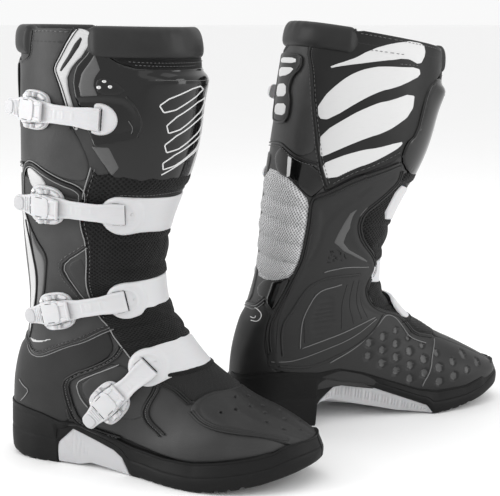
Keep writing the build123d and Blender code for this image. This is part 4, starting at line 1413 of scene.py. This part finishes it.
def sole_edges():
    """Stations along the sole and, for each side, the outline's y there and its outward direction."""
    loop = closed_curve(OUTLINE, 24)
    heel = int(np.argmin(loop[:, 0]))
    loop = np.roll(loop, -heel, 0)
    tip = int(np.argmax(loop[:, 0]))
    low, high = loop[0, 0], loop[tip, 0]
    x = (low + high) / 2 - (high - low) / 2 * np.cos(np.linspace(0.02, np.pi - 0.02, 250))
    edges = {}
    for letter, chain in (("L", loop[:tip + 1]), ("M", np.vstack([loop[tip:], loop[:1]])[::-1])):
        y = np.interp(x, chain[:, 0], chain[:, 1])
        slope = np.gradient(y, x)
        normal = np.stack([slope, -np.ones_like(slope)], -1)
        if letter == "M":
            normal = -normal
        normal /= np.linalg.norm(normal, axis=1)[:, None]
        edges[letter] = (y, normal)
    return x, edges


def arch_bottom(x, v):
    """Height of the black rubber's underside; v runs from 0 on the lateral edge to 1 on the medial one."""
    (start_l, length_l), (start_m, length_m) = ARCH_SPAN["L"], ARCH_SPAN["M"]
    start = start_l + (start_m - start_l) * v
    end = start_l + length_l + (start_m + length_m - start_l - length_l) * v
    s = (x - start) / (end - start)
    lateral = table(ARCH_TOP["L"], start_l + s * length_l)
    medial = table(ARCH_TOP["M"], start_m + s * length_m)
    return np.where((s > 0) & (s < 1), lateral * (1 - v) + medial * v, table(FLOOR, x))


def groove_depth(x):
    return max(smooth(1.5 - abs(x - g) / 1.6) for g in GROOVES)


def build_sole(side):
    """The black outsole: bulging sidewall with fine grooves, heel cup, toe bumper and tread."""
    x, edges = sole_edges()
    levels = np.array([0, .03, .08, .16, .26, .36, .45, .50, .53, .56, .61, .70, .78, .84, .88, .91, .94,
                       .97, 1.0])
    profile = np.interp(levels, (0, .03, .08, .3, .6, 1), (-2.2, -0.8, 0, 0.5, 0.3, 0))
    profile -= 0.7 * np.exp(-((levels - 0.53) / 0.022) ** 2) + 0.6 * np.exp(-((levels - 0.91) / 0.02) ** 2)
    chains = {}
    notch = np.array([groove_depth(one) for one in x])
    for letter, v in (("L", 0.0), ("M", 1.0)):
        y, normal = edges[letter]
        top = table(WALL_TOP[letter], x)
        bottom = np.minimum(arch_bottom(x, v), top - 3)
        edge_notch = notch * np.where(x > 228, 2.6, 0.8) * (bottom < 19)
        toe = smooth((x - 272) / 18)
        lip_ua = on_side(letter, np.stack([x, top], -1))
        low_ua = on_side(letter, np.stack([x, sole_top_at(x) - 1.5], -1))
        edge = np.stack([x, y], -1)

        def inset(amount, height):
            return np.concatenate([edge - normal * amount, height[:, None]], 1)

        lip = surface(lip_ua[:, 0], lip_ua[:, 1], 3.0)
        inner = surface(lip_ua[:, 0], lip_ua[:, 1], 0.3)
        under = surface(low_ua[:, 0], low_ua[:, 1], 0.3)
        lip = lip * (1 - toe)[:, None] + inset(4.0, top) * toe[:, None]
        inner = inner * (1 - toe)[:, None] + inset(9.5, top - 4.0) * toe[:, None]
        under = under * (1 - toe)[:, None] + inset(11.0, sole_top_at(x) - 1.5) * toe[:, None]
        under[:, 2] = np.minimum(under[:, 2], sole_top_at(x) - 1.5)
        rows = []
        for level, out in zip(levels, profile):
            height = bottom + (top - bottom) * level
            wall = np.concatenate([edge + normal * out, height[:, None]], 1)
            wall[:, 2] += edge_notch * max(0.0, 1 - level / 0.1)
            lean = smooth((level - 0.30) / 0.70) ** 1.2
            target = lip + np.concatenate([normal * min(out, 0) * 0.8, np.zeros((len(x), 1))], 1)
            target[:, 2] = height
            rows.append(wall * (1 - lean) + target * lean)
        crest = (lip + inner) / 2
        crest[:, 2] += 0.8
        rows += [crest, inner, under]
        chains[letter] = np.stack(rows, 1)
    across = np.linspace(0, 1, 14)[1:-1]
    left, right = chains["L"][:, 0], chains["M"][:, 0]
    floor = []
    for v in across[::-1]:
        row = left * (1 - v) + right * v
        plain = arch_bottom(row[:, 0], v)
        row[:, 2] = plain + 3.2 * notch * (plain < 22) + 0.3 * (v - 0.5) ** 2
        floor.append(row)
    loops = np.concatenate([chains["L"], chains["M"][:, ::-1], np.stack(floor, 1)], 1)
    stations, around = loops.shape[:2]
    faces = [f[::-1] for f in grid_faces(stations, around, closed=True)]
    faces += end_caps(stations, around)
    flats = np.stack(np.broadcast_arrays(loops[..., 0] + loops[..., 1] * 0.3, loops[..., 2]), -1)
    sole = new_mesh(side + "_outsole_shell", boot_to_world(loops.reshape(-1, 3), side, 0.0),
                    fix_winding(side, faces), ["sole_rubber", "tread_rubber"], flats.reshape(-1, 2))
    index = np.zeros(len(faces), np.int32)
    columns = np.arange(len(faces) - 2) % around
    index[:-2][columns >= 2 * chains["L"].shape[1] - 1] = 1
    sole.data.polygons.foreach_set("material_index", index)
    sole.data.set_sharp_from_angle(angle=math.radians(50))
    attach(sole, side, "foot", ("outsole",))
    build_arch_insert(side, x, edges)


def build_arch_insert(side, x, edges):
    """The white wedge under the arch, smooth outside, ribbed inside."""
    stations = 84
    s = np.linspace(0.004, 0.996, stations)
    levels = np.linspace(0, 1, 9)
    chains = {}
    for letter, (start, length) in ARCH_SPAN.items():
        places = start + s * length
        low = table(ARCH_UNDER[letter], places)
        high = np.maximum(table(ARCH_TOP[letter], places) - 0.25, low + 0.25)
        y, normal = edges[letter]
        edge = np.stack([places, np.interp(places, x, y)], -1)
        direction = np.stack([np.interp(places, x, normal[:, k]) for k in (0, 1)], -1)
        rows = []
        for level in levels:
            height = low + (high - low) * level
            middle = np.sin(np.pi * level) ** 0.5
            if letter == "M":
                ribbed = (0.2 < level < 0.85) * (high - low > 5)
                ribs = 0.9 * (np.sin(places * 2 * np.pi / 3.6) > 0.1) * ribbed
                out = -2.4 + 1.0 * middle - ribs - 5.0 * (1 - level) * smooth((high - low) / 18)
            else:
                slant = places + height * 0.9
                cuts = sum(np.exp(-((slant - c) / 0.9) ** 2) for c in (98, 106, 114)) * (0.25 < level < 0.9)
                out = -1.4 + 1.1 * middle - 0.8 * cuts
            rows.append(np.concatenate([edge + direction * np.reshape(out, (-1, 1)), height[:, None]], 1))
        chains[letter] = np.stack(rows, 1)
    across = np.linspace(0, 1, 10)[1:-1]
    lateral, medial = chains["L"], chains["M"]
    top = np.stack([lateral[:, -1] * (1 - v) + medial[:, -1] * v for v in across], 1)
    under = np.stack([lateral[:, 0] * (1 - v) + medial[:, 0] * v for v in across[::-1]], 1)
    loops = np.concatenate([lateral, top, medial[:, ::-1], under], 1)
    around = loops.shape[1]
    faces = [f[::-1] for f in grid_faces(stations, around, closed=True)]
    faces += end_caps(stations, around)
    insert = new_mesh(side + "_arch_wedge", boot_to_world(loops.reshape(-1, 3), side, 0.0),
                      fix_winding(side, faces), "white_rubber", loops.reshape(-1, 3)[:, [0, 2]])
    insert.data.set_sharp_from_angle(angle=math.radians(40))
    attach(insert, side, "foot", ("arch_insert",))


# ---------------------------------------------------------------- bands, straps, levers and catches

# Heights over the boot's surface: the strap's underside and top, and the lever's underside
STRAP_IN, STRAP_OUT, LEVER_IN = 6.3, 8.7, 9.3
UNITS = {
    "upper": ("shaft", (67, -51, 325), (130, -56, 319), (-0.33, -0.94, 0.07)),
    "middle": ("shaft", (75, -51, 243), (141, -41, 237), (-0.12, -0.99, -0.08)),
    "lower": ("shaft", (77, -42.5, 146), (137, -34, 158), (-0.06, -1.0, 0.0)),
    "instep": ("foot", (127, -42, 66), (160, -33, 101), (0.05, -0.99, 0.08)),
}


class Unit:
    """One buckle unit's two frames: the strap's (from catch to slot) and the catch's own."""

    def __init__(self, name):
        self.part, catch, slot, normal = UNITS[name]
        self.catch, slot, normal = (np.array(one, float) for one in (catch, slot, normal))
        along = slot - self.catch
        self.length = np.linalg.norm(along)
        self.along = along / self.length
        self.across = np.cross(normal, along)
        self.across /= np.linalg.norm(self.across)
        self.out = np.cross(self.along, self.across)
        self.normal = normal - self.across * (normal @ self.across)
        self.normal /= np.linalg.norm(self.normal)
        self.forward = np.cross(self.across, self.normal)
        self.share = SHARE[self.part]

    def places(self, ab):
        """(along, across) mm in the strap's frame to (u, angle) on the boot."""
        ab = np.asarray(ab, float)
        relative = _lookup - self.catch
        a, b, h = relative @ self.along, relative @ self.across, relative @ self.out
        hidden = np.where(h < -25, 1e6, 0)
        # A long list is looked up through some sixty of its points, the nearest one serving for each
        every = max(1, len(ab) // 60) if len(ab) > 300 else 1
        coarse = ab[::every]
        found = np.array([np.argmin(np.hypot(a - one[0], b - one[1]) + hidden) for one in coarse])
        if every > 1:
            found = found[np.argmin(np.linalg.norm(ab[:, None] - coarse[None], axis=2), axis=1)]
        guess = np.stack([_lookup_u.flat[found], _lookup_a.flat[found]], -1)
        wanted = ab + np.array([self.catch @ self.along, self.catch @ self.across])
        return settle(guess, wanted, [self.along, self.across], rounds=14)

    def world(self, points, side):
        """Points in the catch's frame (forward, across, outwards; mm) to the world."""
        points = np.asarray(points, float)
        boot = self.catch + points @ np.array([self.forward, self.across, self.normal])
        return boot_to_world(boot, side, self.share)


def rounded(corners, rounds=2, step=1.2):
    return resample(soften(corners, rounds, True), step, True)


def slab(gather, unit, side, outline, low, high, bevel=0.8, mapping=None):
    """A plate with rounded edges: an outline in the catch's frame between two heights."""
    if signed_area(outline) < 0:
        outline = outline[::-1]
    rings = [(0.4 * bevel, low), (0.0, low + 0.4 * bevel)]
    rings += [(bevel * (1 - math.cos(t)), high - bevel * (1 - math.sin(t)))
              for t in np.linspace(0, math.pi / 2, 5)]
    layers = []
    for amount, height in rings:
        ring = inset_ring(outline, amount) if amount else outline
        layers.append(np.concatenate([ring, np.full((len(ring), 1), height)], 1))
    points = np.concatenate(layers)
    if mapping is not None:
        points = mapping(points)
    n = len(outline)
    faces = [f[::-1] for f in grid_faces(len(layers), n, closed=True) + end_caps(len(layers), n)]
    gather.add(unit.world(points, side), fix_winding(side, faces))


def barrel(gather, unit, side, centre, radius, low, high, segments=20, bevel=0.4):
    """A short cylinder lying across the strap, with rounded rims."""
    turn = np.linspace(0, 2 * np.pi, segments, endpoint=False)
    rows = []
    for y, r in ((low, radius - bevel), (low + bevel, radius), (high - bevel, radius),
                 (high, radius - bevel)):
        rows.append(np.stack([centre[0] + r * np.cos(turn), np.full(segments, y),
                              centre[1] + r * np.sin(turn)], -1))
    faces = grid_faces(4, segments, closed=True)
    faces += end_caps(4, segments)
    gather.add(unit.world(np.concatenate(rows), side), fix_winding(side, faces))


def ring_of(count):
    """Points of a circle of radius 1."""
    turn = np.linspace(0, 2 * np.pi, count, endpoint=False)
    return np.stack([np.cos(turn), np.sin(turn)], -1)


def box_outline(x0, x1, y0, y1):
    return np.array([(x0, y0), (x1, y0), (x1, y1), (x0, y1)], float)


# The catch's ears: how far out their middles are, half their thickness, and the bosses' middle (x, z)
EAR_OUT, EAR_HALF = 13.4, 1.8
BOSS = (-1, 9.2)


def build_catch(side, name, unit):
    """The catch: a rounded base plate with a shoulder, two ears and bosses, and a rivet."""
    gather = Gather(f"{side}_{name}_catch_plate", "white_plastic")
    base = rounded([(-17, -9), (-12, -17), (8, -17), (17, -12), (19, 0), (17, 12), (8, 17), (-12, 17),
                    (-17, 9)], 2)
    slab(gather, unit, side, base, 0.2, 4.2, 1.3)
    shoulder = rounded([(-12, -13), (6, -14.5), (13, -10), (14, 10), (6, 14.5), (-12, 13)], 2)
    slab(gather, unit, side, shoulder, 3.6, 5.2, 0.7)
    for sign in (-1, 1):
        low, high = sign * EAR_OUT - EAR_HALF, sign * EAR_OUT + EAR_HALF
        ear = resample(box_outline(-6.5, 4.5, low, high), 1.2, True)
        slab(gather, unit, side, ear, 3.7, 9.2, 0.6)
        barrel(gather, unit, side, BOSS, 2.7, low, high)
        wing = rounded([(6, sign * 11.5), (14.5, sign * 9.5), (15.5, sign * 12.0), (7, sign * 15.5)], 1)
        slab(gather, unit, side, wing, 4.6, 7.0, 0.8)
    obj = gather.build(40)
    attach(obj, side, unit.part, (name + "_catch",))
    steel = Gather(f"{side}_{name}_rivets", "steel")
    for x, y in ((-13.0, 10.5), (-13.0, -10.5)):
        slab(steel, unit, side, (x, y) + 2.0 * ring_of(18), 4.0, 4.9, 0.5)
    for sign in (-1, 1):
        barrel(steel, unit, side, BOSS, 1.5, sign * 15.3 - 0.3, sign * 15.3 + 0.3, bevel=0.2)
    attach(steel.build(40), side, unit.part)


def build_lever(side, name, unit):
    """The lever: a waisted cover over the bosses, with a stepped recess, ridges and a rounded finger tab."""
    gather = Gather(f"{side}_{name}_lever_body", "white_plastic")

    def bend(points):
        points = points.copy()
        tail = np.clip((-points[:, 0] - 12) / 15, 0, 1)
        points[:, 2] += 1.1 * tail ** 2
        points[:, 2] -= 0.5 * np.clip((points[:, 0] - 4) / 12, 0, 1)
        return points

    body = rounded([(15.8, -8.2), (10, -9.6), (0, -10.6), (-8, -10.4), (-14, -8.6), (-19, -7.4), (-25, -7.0),
                    (-27.5, -4), (-27.5, 4), (-25, 7.0), (-19, 7.4), (-14, 8.6), (-8, 10.4), (0, 10.6),
                    (10, 9.6), (15.8, 8.2)], 1, 1.0)
    slab(gather, unit, side, body, LEVER_IN, 11.5, 1.0, bend)
    saddle = rounded([(6.5, -9.4), (-7.5, -9.8), (-9.5, -7), (-9.5, 7), (-7.5, 9.8), (6.5, 9.4), (8.5, 6),
                      (8.5, -6)], 2, 1.0)
    slab(gather, unit, side, saddle, 11.2, 12.8, 0.7, bend)
    for low, high in ((-8.2, -5.0), (5.0, 8.2)):
        rail = rounded(box_outline(8.0, 15.2, low, high), 1, 1.0)
        slab(gather, unit, side, rail, 11.2, 12.2, 0.5, bend)
    for x in (-12.2, -14.2, -16.2):
        ridge = resample(box_outline(x - 0.5, x + 0.5, -6.2, 6.2), 0.8, True)
        slab(gather, unit, side, ridge, 11.2, 12.1, 0.35, bend)
    for sign in (-1, 1):
        cheek = rounded(box_outline(-6.5, 5.0, sign * 9.9 - 1.0, sign * 9.9 + 1.0), 1, 1.0)
        slab(gather, unit, side, cheek, 7.2, 11.0, 0.5)
        barrel(gather, unit, side, (-1, 9.6), 2.9, sign * 10.1 - 0.9, sign * 10.1 + 0.9)
    barrel(gather, unit, side, (15.8, 10.4), 1.5, -8.6, 8.6)
    attach(gather.build(40), side, f"{name}_lever", (name + "_lever",))
    tab = Gather(f"{side}_{name}_lever_tab", "boss_white")
    pad = rounded([(-17.6, -5.6), (-24.5, -5.8), (-27.2, -3.4), (-27.2, 3.4), (-24.5, 5.8), (-17.6, 5.6)], 2,
                  0.9)
    slab(tab, unit, side, pad, 11.3, 12.7, 0.6, bend)
    attach(tab.build(40), side, f"{name}_lever")
    # Painted shade: thin near-black slabs over the lever's gaps and its cross groove
    painted_gap_shade = Gather(f"{side}_{name}_lever_gap_shade", "guard_dark")
    for sign in (-1, 1):
        gap = resample(box_outline(-4.4, 2.4, sign * 8.5 - 0.28, sign * 8.5 + 0.28), 0.5, True)
        slab(painted_gap_shade, unit, side, gap, 12.4, 12.95, 0.12, bend)
        line = resample(box_outline(-10.6, -10.1, sign * 4.4 - 3.4, sign * 4.4 + 3.4), 0.5, True)
        slab(painted_gap_shade, unit, side, line, 11.2, 11.75, 0.1, bend)
    attach(painted_gap_shade.build(), side, f"{name}_lever")


def build_strap(side, name, unit):
    """The moulded strap from under the lever to its slot, with raised rails and a ladder of fine teeth."""
    length = unit.length
    a = np.arange(-1, length + 1.01, 1.0)
    half = np.interp(a, (-1, 14, 24, length - 20, length - 8, length + 1), (9.5, 9.5, 8, 8, 9.5, 9.5))
    v = np.array([-1, -.985, -.95, -.88, -.80, -.72, -.66, -.5, -.34, -.17, 0, .17, .34, .5, .66, .72, .80,
                  .88, .95, .985, 1])
    grid_a, grid_v = np.meshgrid(a, v, indexing="ij")
    ab = np.stack([grid_a, grid_v * half[:, None]], -1).reshape(-1, 2)
    ua = unit.places(ab)
    dip = smooth((grid_a - (length - 7)) / 8.0)
    top = STRAP_OUT - 0.45 - 0.5 * dip
    edge = np.clip((1 - np.abs(grid_v)) / 0.12, 0, 1)
    rails = 0.45 * smooth((np.abs(grid_v) - 0.62) / 0.08)
    teeth = 0.38 * (np.sin(grid_a * 2 * np.pi / 2.0) > 0) * (np.abs(grid_v) < 0.36)
    teeth = teeth * smooth((grid_a - 17) / 3) * (1 - smooth((grid_a - (length - 20)) / 3))
    top = top + rails + teeth - 1.0 * (1 - np.sqrt(1 - (1 - edge) ** 2))
    bottom = np.full(grid_a.shape, STRAP_IN)
    upper = surface(ua[:, 0], ua[:, 1], top.ravel())
    lower = surface(ua[:, 0], ua[:, 1], bottom.ravel())
    rows, columns = grid_a.shape
    count = rows * columns
    faces = grid_faces(rows, columns)
    upper_faces = [f[::-1] for f in faces]
    faces = upper_faces + [tuple(i + count for i in f) for f in faces]
    rim = list(range(columns)) + [r * columns + columns - 1 for r in range(1, rows)]
    rim += [(rows - 1) * columns + c for c in range(columns - 2, -1, -1)]
    rim += [r * columns for r in range(rows - 2, 0, -1)]
    for i, j in zip(rim, rim[1:] + rim[:1]):
        faces.append((i, i + count, j + count, j))
    world = boot_to_world(np.concatenate([upper, lower]), side, unit.share)
    obj = new_mesh(f"{side}_{name}_strap_ladder", world, fix_winding(side, [f[::-1] for f in faces]),
                   "white_plastic")
    obj.data.set_sharp_from_angle(angle=math.radians(40))
    attach(obj, side, f"{name}_strap", (name + "_strap",))


def unit_panel(name, side, unit, outline, material, **settings):
    """A panel whose outline is given in the strap's frame."""
    flat = unit.places(rounded(outline, settings.pop("smoothing", 2), 1.5))
    return panel(name, side, flat, material, rounds=0, share=unit.share, fine=1.5, **settings)


def circle(radius, start, end, step=12):
    turn = np.radians(np.arange(start, end + 0.1, step))
    return np.stack([radius * np.cos(turn), radius * np.sin(turn)], -1)


BANDS = {
    # Node, part, pad's centre (x, z) and radius, where its arc starts and ends, front edges above and below
    "middle": ("shin_band", "shaft", (141, 235), 17.5, 78, 282,
               [(3.30, 150), (3.34, 180), (3.30, 210), (3.22, 232)],
               [(4.16, 232), (4.20, 210), (4.20, 180), (4.12, 150)]),
    "lower": ("ankle_band", "shaft", (139, 158), 16.5, 92, 288,
              [(5.44, 178), (5.42, 205), (5.50, 222)],
              [(6.35, 232), (6.55, 210), (6.64, 180)]),
    "instep": ("instep_band", "foot", (160, 100), 17.0, 88, 312,
               [(7.95, 145), (7.86, 165), (7.90, 190), (8.15, 208)],
               [(9.30, 210), (9.52, 190), (9.50, 170), (9.35, 152)]),
}


def build_band(side, name, unit):
    """A strap's band round the front: a round pad with a raised ring and slot, then a wide strip."""
    node, part, (pad_x, pad_z), radius, first, last, above, below = BANDS[name]
    arc = circle(radius, first, last) + (pad_x, pad_z)
    outline = np.concatenate([on_side("L", arc), np.array(below[::-1], float), np.array(above[::-1], float)])
    middle_ua = on_side("L", [(pad_x, pad_z)])
    middle = surface(middle_ua[:, 0], middle_ua[:, 1], 3.0)[0]
    slot_end = unit.catch + unit.along * (unit.length + 1.5)

    def relief(flat, distance):
        points = surface(*from_flat(flat), 3.0)
        away = np.linalg.norm(points - middle, axis=1)
        height = 1.9 * smooth((radius + 3.5 - away) / 6.0)
        relative = points - slot_end
        a, b = relative @ unit.along, relative @ unit.across
        from_slot = np.hypot(a + 1.0, b)
        height += 0.95 * np.exp(-((from_slot - 10.5) / 1.1) ** 2) * (a > -2)
        height -= 0.9 * (np.abs(a - 0.9) < 0.9) * (np.abs(b) < 9.8)
        return height - 0.25 * np.exp(-((distance - 2.6) / 0.7) ** 2)

    lay_panel(node + "_strip", side, part, "white_plastic", outline, "white_plastic", (node,), base=1.3,
              thick=2.0, edge=1.5, rounds=1, step=1.8, relief=relief, fine=1.8)
    # Painted shade: near-black cords in the band's slot and along the strap's edges where it goes in
    slot_shade = Gather(f"{side}_{node}_slot", "guard_dark")
    slot = unit.places(resample([(unit.length + 1.7, -9.4), (unit.length + 1.7, 9.4)], 1.5, False))
    tube(slot_shade, to_flat(slot), 4.9, 0.5, side, share=unit.share)
    for sign in (-1, 1):
        edge = [(unit.length - 8, sign * 10.0), (unit.length + 1.4, sign * 9.9)]
        lip = unit.places(resample(edge, 1.5, False))
        tube(slot_shade, to_flat(lip), 5.15, 0.16, side, share=unit.share)
    attach(slot_shade.build(), side, part)
    knob = Gather(f"{side}_{node}_button", "boss_white")
    spot = unit.places([(unit.length + 7.0, 0)])
    sides = 16
    rings = []
    for size, height in ((1.6, 4.7), (1.5, 5.5), (1.1, 5.75)):
        rings.append(path_points(to_flat(spot) + size * ring_of(sides), height, side, unit.share)[0])
    top = tuple(2 * sides + c for c in range(sides))
    faces = [f[::-1] for f in grid_faces(3, sides, closed=True)] + [top]
    knob.add(np.concatenate(rings), faces)
    attach(knob.build(), side, part)


def build_upper_cap(side, unit):
    """The D-shaped cap that the upper strap hooks into."""
    length = unit.length
    outline = circle(1, -118, 118, 10) * (15, 13.5) + (length, 0)
    slot_a = length + 1.9

    def relief(flat, _):
        relative = surface(*from_flat(flat), 3.0) - unit.catch
        a, b = relative @ unit.along, relative @ unit.across
        dome = 0.5 * smooth((a - slot_a - 1.5) / 5.0)
        return dome - 1.2 * (np.abs(a - slot_a) < 0.9) * (np.abs(b) < 9.6)

    obj = unit_panel(side + "_upper_cap", side, unit, outline, "white_plastic", base=1.8, thick=3.0,
                     edge=1.8, step=1.4, relief=relief, smoothing=1)
    attach(obj, side, "shaft", ("upper_anchor",))
    slot = unit.places(resample([(slot_a, -9.2), (slot_a, 9.2)], 1.5, False))
    # Painted shade: a near-black cord in the cap's slot
    lay_cords("upper_cap_slot_shade", side, "shaft", "white_plastic", "guard_dark", [(to_flat(slot), 4.35, 0.5)])


def build_hardware(side):
    for name in UNITS:
        unit = Unit(name)
        build_catch(side, name, unit)
        build_lever(side, name, unit)
        build_strap(side, name, unit)
        if name in BANDS:
            build_band(side, name, unit)
        else:
            build_upper_cap(side, unit)


# ---------------------------------------------------------------- both boots

for boot_side in SIDES:
    build_skin(boot_side)
    build_collar(boot_side)
    build_front_mesh(boot_side)
    build_bellows(boot_side)
    build_leather_panels(boot_side)
    build_seams(boot_side)
    build_calf_details(boot_side)
    build_medial_panel(boot_side)
    build_shin_plate(boot_side)
    build_inner_guard(boot_side)
    build_toe_guard(boot_side)
    build_sole(boot_side)
    build_hardware(boot_side)

# The pieces that stay as they were modelled get their materials here
for boot_side in SIDES:
    for node_name, material_name in (("footbed", "foam"), ("shank", "steel")):
        node_object = bpy.data.objects[f"{boot_side}_{node_name}"]
        for material_slot in node_object.material_slots:
            material_slot.material = MATERIALS[material_name]


# ---------------------------------------------------------------- floor, light and camera


def area_light(name, place, target, size, power):
    data = bpy.data.lights.new(name, "AREA")
    data.shape = "RECTANGLE"
    data.size, data.size_y = size
    data.energy = power
    light = bpy.data.objects.new(name, data)
    bpy.context.collection.objects.link(light)
    light.location = place
    light.rotation_euler = (Vector(target) - Vector(place)).to_track_quat("-Z", "Y").to_euler()


floor_mesh = bpy.data.meshes.new("floor")
floor_mesh.from_pydata([(-60, -6, 0), (60, -6, 0), (60, 120, 0), (-60, 120, 0)], [], [(0, 1, 2, 3)])
floor_mesh.materials.append(MATERIALS["floor"])
floor_object = bpy.data.objects.new("floor", floor_mesh)
bpy.context.collection.objects.link(floor_object)

area_light("left_softbox", (-1.5, -0.35, 0.65), (-0.1, 0, 0.2), (0.7, 1.4), 14)
area_light("right_softbox", (1.6, -0.45, 0.7), (0.05, 0, 0.2), (0.6, 1.4), 9)
area_light("top_softbox", (0, 0.1, 1.9), (0, 0, 0.2), (1.8, 1.8), 8)
area_light("front_softbox", (0.1, -2.4, 1.3), (0, 0, 0.2), (1.6, 1.0), 3)

world = bpy.data.worlds.new("studio")
world.use_nodes = True
world.node_tree.nodes["Background"].inputs["Color"].default_value = (1, 1, 1, 1)
world.node_tree.nodes["Background"].inputs["Strength"].default_value = 0.95
bpy.context.scene.world = world
bpy.context.scene.view_settings.view_transform = "Standard"

CAMERA_TARGET = Vector((-0.0172, -0.029, 0.1908))
CAMERA_DISTANCE = 1.127
SENSOR_WIDTH, FOCAL_LENGTH = 36.0, 86.4
CAMERA_ELEVATION = math.radians(10.7)
camera_data = bpy.data.cameras.new("camera")
camera_data.sensor_width = SENSOR_WIDTH
camera_data.lens = FOCAL_LENGTH
camera = bpy.data.objects.new("camera", camera_data)
bpy.context.collection.objects.link(camera)
camera.location = CAMERA_TARGET + CAMERA_DISTANCE * Vector((0, -math.cos(CAMERA_ELEVATION),
                                                            math.sin(CAMERA_ELEVATION)))
camera.rotation_euler = (math.pi / 2 - CAMERA_ELEVATION, 0, 0)
bpy.context.scene.camera = camera
